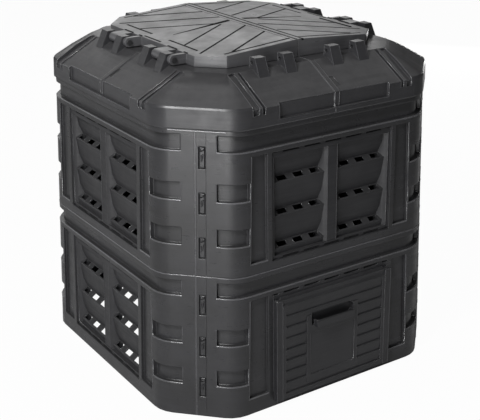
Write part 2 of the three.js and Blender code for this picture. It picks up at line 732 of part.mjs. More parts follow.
// A ring of points round such a plan.
function ring({ half, vertex, radius }, height) {
  const corner = vertex - radius * TAN_HALF_EIGHTH;
  const points = [];
  for (let side = 0; side < 4; side += 1) {
    for (const [index, across, along] of [[0, half - radius, corner], [1, corner, half - radius]]) {
      for (let step = 0; step <= ARC_STEPS; step += 1) {
        const angle = EIGHTH_TURN * (index + step / ARC_STEPS);
        const place = new THREE.Vector3(
          across + radius * Math.cos(angle),
          along + radius * Math.sin(angle),
          height,
        );
        points.push(place.applyAxisAngle(new THREE.Vector3(0, 0, 1), side * Math.PI / 2));
      }
    }
  }
  return points;
}

// A solid through rings of equally many points, from the lowest up.
function loft(rings) {
  const count = rings[0].length;
  const positions = rings.flat().flatMap(({ x, y, z }) => [x, y, z]);
  const triangles = [];
  for (let level = 0; level < rings.length - 1; level += 1) {
    for (let index = 0; index < count; index += 1) {
      const next = (index + 1) % count;
      const low = level * count;
      const high = low + count;
      triangles.push(low + index, low + next, high + next);
      triangles.push(low + index, high + next, high + index);
    }
  }
  const top = (rings.length - 1) * count;
  for (let index = 1; index < count - 1; index += 1) {
    triangles.push(0, index + 1, index);
    triangles.push(top, top + index, top + index + 1);
  }
  const geometry = new THREE.BufferGeometry();
  geometry.setAttribute('position', new THREE.Float32BufferAttribute(positions, 3));
  geometry.setIndex(triangles);
  return toSolid(geometry);
}

const LEDGE_PLAN = { half: LEDGE_HALF, vertex: LEDGE_VERTEX, radius: LEDGE_RADIUS };
const HOOD_LOW = WALL_TOP + GAP;
const RIM_HALF = planAt(WALL_TOP + RIM_RISE, RIM_PROUD).half;
const SLOPE = (HOOD_RISE - RIM_RISE) / (RIM_HALF - LEDGE_HALF);
const SLANT = Math.hypot(1, SLOPE); // height that a thickness across the slope takes
const LID_VERTEX = LID_HALF - LID_CUT;

// Height of a side slope at a distance from the bin's middle
const slopeAt = (distance) => LEDGE - (distance - LEDGE_HALF) * SLOPE;

// A piece of the slope of the front side between two levels measured down from it.
function slopeSlab([inner, outer], [above, below], [left, right]) {
  return sideways([
    point(inner, slopeAt(inner) - above * SLANT),
    point(outer, slopeAt(outer) - above * SLANT),
    point(outer, slopeAt(outer) - below * SLANT),
    point(inner, slopeAt(inner) - below * SLANT),
  ], left, right);
}

// Everything above a line that runs along the slope and down the inside of the rim.
function aboveSlope(depth, inner, rimDistance, rimHeight, [left, right]) {
  return sideways([
    point(inner, slopeAt(inner) - depth * SLANT),
    point(rimDistance, slopeAt(rimDistance) - depth * SLANT),
    point(rimDistance, rimHeight),
    point(BIN_WIDTH, rimHeight),
    point(BIN_WIDTH, TALL),
    point(inner, TALL),
  ], left, right);
}

// Outer shape of the hood: plain slopes at the sides, raised and rounded at the corners.
function hoodShape() {
  const low = ring(planAt(HOOD_LOW, RIM_PROUD), HOOD_LOW);
  const edge = planAt(WALL_TOP + RIM_RISE, RIM_PROUD);
  const sides = loft([
    low,
    ring(edge, WALL_TOP + RIM_RISE),
    ring(LEDGE_PLAN, LEDGE),
  ]);
  const top = inset(edge, CORNER_TOP_RUN);
  const middle = {
    half: (top.half + LEDGE_PLAN.half) / 2,
    vertex: (top.vertex + LEDGE_PLAN.vertex) / 2,
    radius: (top.radius + LEDGE_PLAN.radius) / 2,
  };
  const corners = loft([
    low,
    ring(edge, WALL_TOP + RIM_RISE),
    ring(inset(edge, CORNER_EDGE_RUN), WALL_TOP + CORNER_EDGE_RISE),
    ring(top, WALL_TOP + CORNER_TOP_RISE),
    ring(middle, WALL_TOP + (CORNER_TOP_RISE + HOOD_RISE) / 2 + CORNER_BULGE),
    ring(LEDGE_PLAN, LEDGE),
  ]);
  const corner = block([-BIN_WIDTH, -CORNER_START], [-BIN_WIDTH, -CORNER_START], [0, TALL]);
  return join(sides, common(corners, corner));
}

// The space below the hood, narrowed where grooves and recesses need material behind them.
function hoodVoid() {
  const ceiling = planAt(WALL_TOP + RIM_RISE, -HOOD_WALL);
  const space = loft([
    ring(planAt(WALL_TOP - OVERRUN, -HOOD_WALL), WALL_TOP - OVERRUN),
    ring(ceiling, slopeAt(ceiling.half) - HOOD_WALL * SLANT),
    ring(LEDGE_PLAN, LEDGE - HOOD_WALL * SLANT),
  ]);
  const grooveEnds = grown([NARROW_GROOVE_START, WIDE_GROOVE_START + WIDE_GROOVE_WIDTH], GROOVE_FLOOR);
  const behindGrooves = aboveSlope(
    NARROW_GROOVE_DEPTH + GROOVE_FLOOR,
    LEDGE_HALF - GROOVE_FLOOR,
    RIM_HALF - NARROW_GROOVE_DEPTH - GROOVE_FLOOR,
    WALL_TOP + GROOVE_NOTCH_RISE - GROOVE_FLOOR,
    [-grooveEnds[1], -grooveEnds[0]],
  );
  const behindRecess = block(
    [-RIM_RECESS_HALF - HOOD_WALL, OVERRUN],
    [-BIN_WIDTH, RIM_RECESS_DEPTH + HOOD_WALL - RIM_HALF],
    [WALL_TOP + LAP_HEIGHT + GAP, TALL],
  );
  return cut(
    space,
    behindGrooves,
    behindRecess,
    turned(mirroredAcross(behindGrooves), -1),
    turned(mirroredAcross(behindRecess), -1),
  );
}

// The mirror image of a solid at the front side's middle.
function mirroredAcross(solid) {
  const geometry = toGeometry(solid).scale(-1, 1, 1);
  const order = geometry.index.array;
  for (let corner = 0; corner < order.length; corner += 3) {
    [order[corner], order[corner + 1]] = [order[corner + 1], order[corner]];
  }
  return toSolid(geometry);
}

// Grooves, the recess in the rim and the bores of the ears, all at the front side
function sideCuts() {
  const grooves = [
    [NARROW_GROOVE_START, NARROW_GROOVE_WIDTH, NARROW_GROOVE_DEPTH],
    [WIDE_GROOVE_START, WIDE_GROOVE_WIDTH, WIDE_GROOVE_DEPTH],
  ].map(([start, width, depth]) => aboveSlope(
    depth,
    LEDGE_HALF + GROOVE_END_RUN,
    RIM_HALF - depth,
    WALL_TOP + GROOVE_NOTCH_RISE,
    [-start - width, -start],
  ));
  const recess = block(
    [-RIM_RECESS_HALF, OVERRUN],
    [-BIN_WIDTH, RIM_RECESS_DEPTH - RIM_HALF],
    [WALL_TOP + LAP_HEIGHT + GAP + RIM_SHELF, TALL],
  );
  const bore = bar(
    (PIN_RADIUS + GAP) / Math.cos(Math.PI / ROUND_SIDES), -HALF, 0,
  );
  return join(...grooves, recess, bore);
}

function ears() {
  const outline = [
    point(PIVOT - EAR_FOOT_INNER, LEDGE - SINK),
    point(PIVOT - EAR_TOP_INNER, PIVOT_HEIGHT + EAR_TOP),
    point(PIVOT + EAR_TOP_OUTER, PIVOT_HEIGHT + EAR_TOP),
    point(PIVOT + EAR_FOOT_OUTER, slopeAt(PIVOT + EAR_FOOT_OUTER) - SINK),
    point(LEDGE_HALF, LEDGE - SINK),
  ];
  const middles = [EAR_PAIR_OFFSET - EAR_SPACING / 2, EAR_PAIR_OFFSET + EAR_SPACING / 2];
  return join(...middles.map((middle) => (
    sideways(outline, ...grown([-middle, -middle], EAR_WIDTH / 2))
  )));
}

// The flap that goes below the next quarter, at the front side's middle
const FLAP_LEVELS = [HOOD_WALL + GAP, HOOD_WALL + GAP + FLAP_THICKNESS];

function seamFlap() {
  const ends = [FLAP_INNER, FLAP_OUTER];
  const hole = grown([CLIP_INNER, CLIP_OUTER], -CLIP_SHOULDER);
  const holeSides = grown([CLIP_OFFSET, CLIP_OFFSET], CLIP_WIDTH / 2 - SINK);
  return cut(
    join(
      slopeSlab(ends, FLAP_LEVELS, [-FLAP_OWN, FLAP_REACH]),
      slopeSlab(ends, [HOOD_WALL - SINK, FLAP_LEVELS[1]], [-FLAP_OWN, -GAP / 2]),
    ),
    slopeSlab(hole, grown(FLAP_LEVELS, OVERRUN), holeSides),
  );
}

function hoodClip() {
  const head = slopeSlab(
    grown([CLIP_INNER, CLIP_OUTER], -GAP),
    [CLIP_SET_BACK, HOOD_WALL],
    grown([CLIP_OFFSET, CLIP_OFFSET], CLIP_WIDTH / 2 - GAP),
  );
  const stemEnds = grown([CLIP_INNER, CLIP_OUTER], -CLIP_SHOULDER - GAP);
  const stemSides = grown([CLIP_OFFSET, CLIP_OFFSET], CLIP_WIDTH / 2 - SINK - GAP);
  const bottom = FLAP_LEVELS[1] + GAP + CLIP_BARB;
  const stem = slopeSlab(stemEnds, [HOOD_WALL - SINK, bottom], stemSides);
  const barb = slopeSlab(stemEnds, [FLAP_LEVELS[1] + GAP, bottom], grown(stemSides, GAP + GAP));
  return toGeometry(join(head, stem, barb));
}

// The quarter at the front left. The others are turned copies of it.
function hoodQuarter() {
  const quadrant = block([-BIN_WIDTH, -GAP / 2], [-BIN_WIDTH, -GAP / 2], [0, TALL]);
  const collarPlan = { half: COLLAR_HALF, vertex: LID_VERTEX - (LID_HALF - COLLAR_HALF) * TAN_HALF_EIGHTH };
  const collar = inset({ ...collarPlan, radius: LID_RADIUS }, 0);
  const mouth = inset(collar, COLLAR_THICKNESS);
  const solidHood = join(
    hoodShape(),
    loft([ring(collar, LEDGE - SINK), ring(collar, LEDGE + COLLAR_HEIGHT)]),
  );
  const mouthCut = loft([ring(mouth, 0), ring(mouth, TALL)]);
  const shell = common(cut(solidHood, hoodVoid(), mouthCut), quadrant);

  // The strip beside the seam of the left side, on the slope and on the recessed rim
  const recessHalf = RIM_HALF - RIM_RECESS_DEPTH;
  const strip = common(
    join(
      slopeSlab([LEDGE_HALF, recessHalf], [-STRIP_PROUD, SINK], [GAP / 2, STRIP_WIDTH]),
      block(
        [GAP / 2, STRIP_WIDTH],
        [-recessHalf - STRIP_PROUD, SINK - recessHalf],
        [WALL_TOP + LAP_HEIGHT + RIM_SHELF, slopeAt(recessHalf) + STRIP_PROUD],
      ),
    ),
    block([0, STRIP_WIDTH], [-BIN_WIDTH, 0], [0, LEDGE]),
  );
  const slot = slopeSlab(
    [CLIP_INNER, CLIP_OUTER],
    [-STRIP_PROUD - OVERRUN, HOOD_WALL + OVERRUN],
    grown([CLIP_OFFSET, CLIP_OFFSET], CLIP_WIDTH / 2),
  );
  const rebate = toSolid(lean(toGeometry(wallLayer(
    [WALL - LAP_THICKNESS - GAP, WALL + RECESS_DEPTH],
    [0, 0],
    [WALL_TOP - OVERRUN, WALL_TOP + LAP_HEIGHT + GAP],
  ))));
  const cuts = sideCuts();
  const quarter = cut(
    join(shell, ears(), turned(mirroredAcross(ears()), -1)),
    cuts,
    turned(mirroredAcross(cuts), -1),
    rebate,
    turned(rebate, -1),
  );
  return toGeometry(cut(join(quarter, turned(strip, -1), seamFlap()), turned(slot, -1)));
}

// Lid

const LID_EDGE_SLOPE = (LID_RIDGE_RISE - LID_EDGE_RISE) / LID_HALF;

// Everything below the two pitches of the lid, lowered by a distance.
function underRoof(lowered) {
  const reach = LID_HALF + OVERRUN;
  const ridge = LEDGE + LID_RIDGE_RISE - lowered;
  const eaves = ridge - reach * LID_EDGE_SLOPE;
  return turned(crosswise(
    [point(-reach, 0), point(reach, 0), point(reach, eaves), point(0, ridge), point(-reach, eaves)],
    -reach,
    reach,
  ), 1);
}

// A straight groove in plan, from one place to another.
function lineCut(from, to) {
  const across = to.clone().sub(from).normalize().rotateAround(point(0, 0), Math.PI / 2);
  across.multiplyScalar(LINE_WIDTH / 2);
  const outline = [
    from.clone().add(across), from.clone().sub(across), to.clone().sub(across), to.clone().add(across),
  ];
  return upright(outline, LEDGE, TALL);
}

// Grooves of one flap's top. Side is -1 for the left flap and 1 for the right one.
function topLines(side) {
  const place = ([across, along], end) => point(side * across * LID_HALF, end * along * LID_HALF);
  const lines = [lineCut(...HINGE_LINE_SHARES.map((share) => place(share, 1)))];
  for (const end of [-1, 1]) {
    for (const [from, to] of [...FAN_SHARES, ...BORDER_SHARES]) {
      lines.push(lineCut(place(from, end), place(to, end)));
    }
  }
  lines.push(upright(CREASE_SHARES.map((share) => place(share, 1)), LEDGE, TALL));
  if (side > 0) {
    const stripEdge = SPLIT_OFFSET + SPLIT_STRIP;
    lines.push(lineCut(point(stripEdge, -LID_HALF), point(stripEdge, LID_HALF)));
  }
  return cut(join(...lines), underRoof(LINE_DEPTH));
}

// Where the arms of one side lie: between the ears of each pair, and beside them
function armSpans() {
  const besideStart = (EAR_SPACING + EAR_WIDTH) / 2 + SIDE_ARM_GAP;
  return [-EAR_PAIR_OFFSET, EAR_PAIR_OFFSET].flatMap((middle) => [
    grown([middle, middle], ARM_WIDTH / 2),
    [middle + besideStart, middle + besideStart + SIDE_ARM_WIDTH],
  ]);
}

function arms() {
  const outline = new THREE.Shape();
  const inner = LID_HALF - SINK;
  outline.moveTo(-inner, PIVOT_HEIGHT + ARM_RADIUS);
  outline.lineTo(-PIVOT, PIVOT_HEIGHT + ARM_RADIUS);
  outline.absarc(-PIVOT, PIVOT_HEIGHT, ARM_RADIUS, Math.PI / 2, Math.PI * 3 / 2, false);
  outline.lineTo(-inner, PIVOT_HEIGHT - ARM_RADIUS);
  const points = outline.getPoints(ROUND_SIDES / 2);
  const bore = bar((PIN_RADIUS + GAP) / Math.cos(Math.PI / ROUND_SIDES), -HALF, HALF);
  return cut(join(...armSpans().map((span) => crosswise(points, ...span))), bore);
}

function lidFlap(side) {
  const plan = { half: LID_HALF, vertex: LID_VERTEX, radius: LID_RADIUS };
  const inside = inset(plan, LID_WALL);
  const edge = SPLIT_OFFSET + side * GAP / 2;
  const wallEdge = edge + side * LID_WALL;
  const beyond = side * BIN_WIDTH;
  const across = (from, to) => [Math.min(from, to), Math.max(from, to)];
  const depths = [-BIN_WIDTH, BIN_WIDTH];
  const outer = common(
    loft([ring(plan, LEDGE + LID_LEDGE_GAP), ring(plan, TALL)]),
    underRoof(0),
    block(across(edge, beyond), depths, [0, TALL]),
  );
  const space = common(
    loft([ring(inside, LEDGE - OVERRUN), ring(inside, TALL)]),
    underRoof(LID_WALL),
    join(
      block(across(wallEdge, beyond), depths, [0, TALL]),
      block(across(edge - side * OVERRUN, wallEdge + side * OVERRUN), depths, [0, LEDGE + SPLIT_WALL_RISE]),
    ),
  );
  return toGeometry(cut(join(cut(outer, space), turned(arms(), side)), topLines(side)));
}

// A pin goes through one pair of ears and ends in a head outside the arm beside them.
function hingePin(middle) {
  const farEnd = middle - (EAR_SPACING + EAR_WIDTH) / 2;
  const headStart = middle + (EAR_SPACING + EAR_WIDTH) / 2 + SIDE_ARM_GAP + SIDE_ARM_WIDTH + GAP;
  return toGeometry(join(
    bar(PIN_RADIUS, farEnd, headStart + SINK),
    bar(PIN_HEAD_RADIUS, headStart, headStart + PIN_HEAD_LENGTH),
  ));
}

// The bin

const bin = new THREE.Group();

// The pull stands out farthest at the front, so the walls stand half of that behind the
// middle of the whole.
const pullReach = RAIL_PROUD + PULL_LIP_REACH - LEAN * (PULL_LOW - PULL_LIP_WALL);
const railReach = RAIL_PROUD - LEAN * RAIL_LOW;
bin.position.y = Math.max(pullReach, railReach) / 2;

function place(name, geometry, colour, quarters = 0) {
  const material = new THREE.MeshStandardMaterial({
    color: colour,
    roughness: SATIN,
    metalness: 0,
    flatShading: true,
  });
  const mesh = new THREE.Mesh(geometry, material);
  mesh.name = name;
  mesh.rotation.z = quarters * Math.PI / 2;
  bin.add(mesh);
}

const SIDES = ['front', 'right', 'back', 'left'];
const CORNERS = ['front_left', 'front_right', 'back_right', 'back_left'];
const TIERS = [
  { tier: 'lower', low: 0, high: LOWER_TOP },
  { tier: 'upper', low: LOWER_TOP + GAP, high: WALL_TOP },
];

for (const { tier, low, high } of TIERS) {
  const panel = wallPanel(low, high, low > 0);
  const louvres = louvreInsert(high);
  SIDES.forEach((side, quarters) => {
    place(`wall_${tier}_${side}`, panel, WALL_COLOUR, quarters);
    if (tier === 'upper' || side !== 'front') {
      place(`louvre_${tier}_${side}`, louvres, INSERT_COLOUR, quarters);
    }
  });
}

place('hatch_frame', hatchFrame(), HATCH_COLOUR);
place('hatch_door', hatchDoor(), HATCH_COLOUR);

const quarter = hoodQuarter();
const clip = hoodClip();
CORNERS.forEach((corner, quarters) => {
  place(`hood_quarter_${corner}`, quarter, HOOD_COLOUR, quarters);
  place(`hood_clip_${SIDES[quarters]}`, clip, FITTING_COLOUR, quarters);
});

place('lid_left', lidFlap(-1), LID_COLOUR);
place('lid_right', lidFlap(1), LID_COLOUR);
place('hinge_pin_left_front', hingePin(EAR_PAIR_OFFSET), FITTING_COLOUR, -1);
place('hinge_pin_left_back', hingePin(-EAR_PAIR_OFFSET), FITTING_COLOUR, -1);
place('hinge_pin_right_front', hingePin(-EAR_PAIR_OFFSET), FITTING_COLOUR, 1);
place('hinge_pin_right_back', hingePin(EAR_PAIR_OFFSET), FITTING_COLOUR, 1);

export default bin;
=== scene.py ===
"""Looks of a compost bin with a two-flap lid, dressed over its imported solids, in metres."""

import logging
import math
from dataclasses import dataclass, field, replace
from enum import Enum

import bmesh
import bpy
from mathutils import Euler, Matrix, Vector


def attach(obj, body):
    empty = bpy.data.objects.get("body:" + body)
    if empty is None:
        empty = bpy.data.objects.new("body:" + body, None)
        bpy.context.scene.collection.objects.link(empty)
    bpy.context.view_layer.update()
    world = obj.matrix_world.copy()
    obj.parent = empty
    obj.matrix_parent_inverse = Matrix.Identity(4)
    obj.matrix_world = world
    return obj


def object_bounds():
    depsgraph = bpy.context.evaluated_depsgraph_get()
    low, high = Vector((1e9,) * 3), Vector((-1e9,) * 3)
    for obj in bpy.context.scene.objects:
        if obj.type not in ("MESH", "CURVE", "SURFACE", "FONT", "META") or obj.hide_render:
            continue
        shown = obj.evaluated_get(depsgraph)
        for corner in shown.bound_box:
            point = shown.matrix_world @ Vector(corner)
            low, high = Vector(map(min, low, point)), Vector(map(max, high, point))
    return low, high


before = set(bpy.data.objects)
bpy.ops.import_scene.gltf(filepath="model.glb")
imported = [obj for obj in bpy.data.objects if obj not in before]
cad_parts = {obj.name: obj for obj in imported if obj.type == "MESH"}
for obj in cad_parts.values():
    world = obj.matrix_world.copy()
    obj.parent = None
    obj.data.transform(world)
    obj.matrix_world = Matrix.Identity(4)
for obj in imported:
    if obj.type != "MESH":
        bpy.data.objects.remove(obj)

log = logging.getLogger("compost_bin")

CAD_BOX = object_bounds()
MM = 0.001
CORNERS = 4
DIAGONAL = math.sqrt(0.5)
QUARTER_TURN = math.pi / 2

# Points of a solid that are closer than this are one, and faces that meet at less than this angle are one flat face.
MERGE_DISTANCE = 0.02 * MM
FLAT_ANGLE = math.radians(0.6)


class Body(Enum):
    """The bodies that a piece can ride on."""

    BIN = "bin"
    HATCH = "hatch"
    LEFT_FLAP = "left_flap"
    RIGHT_FLAP = "right_flap"


class Edge(Enum):
    """Radius in metres of the round along a moulded piece's edges."""

    BROAD = 0.0034
    PLAIN = 0.0024
    FINE = 0.0014
    THIN = 0.0008


@dataclass(frozen=True)
class WallPlan:
    """Plan of the walls, as far as the trim on them needs it.

    Attributes:
        half: Half the bin's width at the ground.
        cut: What a cut-off corner takes from each face.
        lean: Lean of the walls for each metre of height.
        shift: From the middle of the solids to the middle of the walls, towards the back.
    """

    half: float = 0.395
    cut: float = 0.126
    lean: float = 0.0279
    shift: float = 0.01096

    def on_corner(self, along: float, depth: float, height: float) -> Vector:
        """A point on the front left corner, from the middle of the walls.

        Args:
            along: From the middle of the corner, to the right.
            depth: How far the point lies behind the wall's face.
            height: Height above the ground.

        Returns:
            The point.
        """
        middle = self.half - self.cut / 2 - self.lean * height - depth * DIAGONAL
        return Vector((along * DIAGONAL - middle, -along * DIAGONAL - middle, height))


PLAN = WallPlan()


# Nodes


def linear(code: str, factor: float = 1.0) -> tuple[float, float, float, float]:
    """Turns an sRGB colour to the linear one that a node takes.

    Args:
        code: Six hex digits.
        factor: How much paler it gets.

    Returns:
        Red, green, blue and a full alpha.
    """
    shares = [int(code[start:start + 2], 16) / 255.0 for start in (0, 2, 4)]
    plain = [share / 12.92 if share <= 0.04045 else ((share + 0.055) / 1.055) ** 2.4 for share in shares]
    red, green, blue = [min(factor * share, 1.0) for share in plain]
    return red, green, blue, 1.0


def add_node(tree: bpy.types.NodeTree, kind: str, inputs: dict[object, object] | None = None,
             **settings: object) -> bpy.types.Node:
    """Adds a node with its settings, values and links.

    Args:
        tree: Tree that gets the node.
        kind: Type of the node.
        inputs: For each input, by name or number, its value or the socket that feeds it.
        settings: Properties of the node, set before its inputs.

    Returns:
        The node.
    """
    node = tree.nodes.new(kind)
    for name, value in settings.items():
        setattr(node, name, value)
    for key, value in (inputs or {}).items():
        if isinstance(value, bpy.types.NodeSocket):
            tree.links.new(value, node.inputs[key])
        else:
            node.inputs[key].default_value = value
    return node


def new_tree(name: str, sockets: dict[str, str]) -> tuple[bpy.types.NodeTree, bpy.types.Node]:
    """Starts a geometry tree with named inputs and one geometry as its result.

    Args:
        name: Name of the tree.
        sockets: Type of each input.

    Returns:
        The tree and the node that gives its inputs.
    """
    tree = bpy.data.node_groups.new(name, "GeometryNodeTree")
    for title, kind in sockets.items():
        tree.interface.new_socket(title, in_out="INPUT", socket_type="NodeSocket" + kind)
    tree.interface.new_socket("Geometry", in_out="OUTPUT", socket_type="NodeSocketGeometry")
    return tree, add_node(tree, "NodeGroupInput")


def add_rods(tree: bpy.types.NodeTree, lines: bpy.types.NodeSocket, radius: bpy.types.NodeSocket,
             sides: int) -> bpy.types.NodeSocket:
    """Lays a round rod with closed ends along each line.

    Args:
        tree: Tree that gets the rods.
        lines: The lines.
        radius: Radius of the rods.
        sides: Sides of a rod.

    Returns:
        The rods' mesh.
    """
    profile = add_node(tree, "GeometryNodeCurvePrimitiveCircle", {"Resolution": sides, "Radius": radius})
    return add_node(tree, "GeometryNodeCurveToMesh", {
        "Curve": lines, "Profile Curve": profile.outputs["Curve"], "Fill Caps": True,
    }).outputs[0]


def add_copies(tree: bpy.types.NodeTree, shape: bpy.types.NodeSocket, count: object, start: object, step: object,
               turn: object = 0.0) -> bpy.types.NodeSocket:
    """Sets copies of a shape in a row. Each measure is a value or the socket that feeds it.

    Args:
        tree: Tree that gets the copies.
        shape: The shape.
        count: How many copies.
        start: Place of the first.
        step: From each to the next.
        turn: Turn of the copies about the upright axis.

    Returns:
        The copies.
    """
    row = add_node(tree, "GeometryNodeMeshLine", {"Count": count, "Start Location": start, "Offset": step})
    turned = add_node(tree, "ShaderNodeCombineXYZ", {"Z": turn})
    return add_node(tree, "GeometryNodeInstanceOnPoints", {
        "Points": row.outputs[0], "Instance": shape, "Rotation": turned.outputs[0],
    }).outputs[0]


def end_tree(tree: bpy.types.NodeTree, shape: bpy.types.NodeSocket, material: bpy.types.Material) -> None:
    """Ends a geometry tree with real meshes in their material.

    Args:
        tree: The tree.
        shape: What it has made.
        material: Material of it all.
    """
    real = add_node(tree, "GeometryNodeRealizeInstances", {"Geometry": shape})
    painted = add_node(tree, "GeometryNodeSetMaterial", {"Geometry": real.outputs[0], "Material": material})
    add_node(tree, "NodeGroupOutput", {0: painted.outputs[0]})


# Objects


def kept_mesh(name: str, shape: bmesh.types.BMesh) -> bpy.types.Mesh:
    """Keeps an edited shape as a mesh.

    Args:
        name: Name of the mesh.
        shape: The shape, which ends here.

    Returns:
        The mesh.
    """
    mesh = bpy.data.meshes.new(name)
    shape.to_mesh(mesh)
    shape.free()
    return mesh


def add_object(name: str, data: bpy.types.ID) -> bpy.types.Object:
    """Adds an object to the scene.

    Args:
        name: Its name.
        data: Its mesh, lamp or camera.

    Returns:
        The object.
    """
    added = bpy.data.objects.new(name, data)
    bpy.context.scene.collection.objects.link(added)
    return added


def grown_mesh(name: str, tree: bpy.types.NodeTree, values: dict[str, object],
               base: bpy.types.Mesh | None = None, smooth: bool = True) -> bpy.types.Object:
    """Evaluates a node tree and keeps its result as a plain mesh.

    Args:
        name: Name of the new piece.
        tree: The tree.
        values: Value of each named input.
        base: Mesh that the tree starts from, if it needs one. It ends here.
        smooth: Whether its faces are shaded smooth.

    Returns:
        The new object, with its place in its mesh.
    """
    base = base or bpy.data.meshes.new(name + "_maker")
    carrier = add_object(name + "_maker", base)
    modifier = carrier.modifiers.new("maker", "NODES")
    modifier.node_group = tree
    for socket in tree.interface.items_tree:
        if socket.in_out == "INPUT" and socket.name in values:
            modifier[socket.identifier] = values[socket.name]
    graph = bpy.context.evaluated_depsgraph_get()
    graph.update()
    mesh = bpy.data.meshes.new_from_object(carrier.evaluated_get(graph), depsgraph=graph)
    bpy.data.objects.remove(carrier)
    bpy.data.meshes.remove(base)
    mesh.name = name
    mesh.polygons.foreach_set("use_smooth", [smooth] * len(mesh.polygons))
    return add_object(name, mesh)


# Finishes


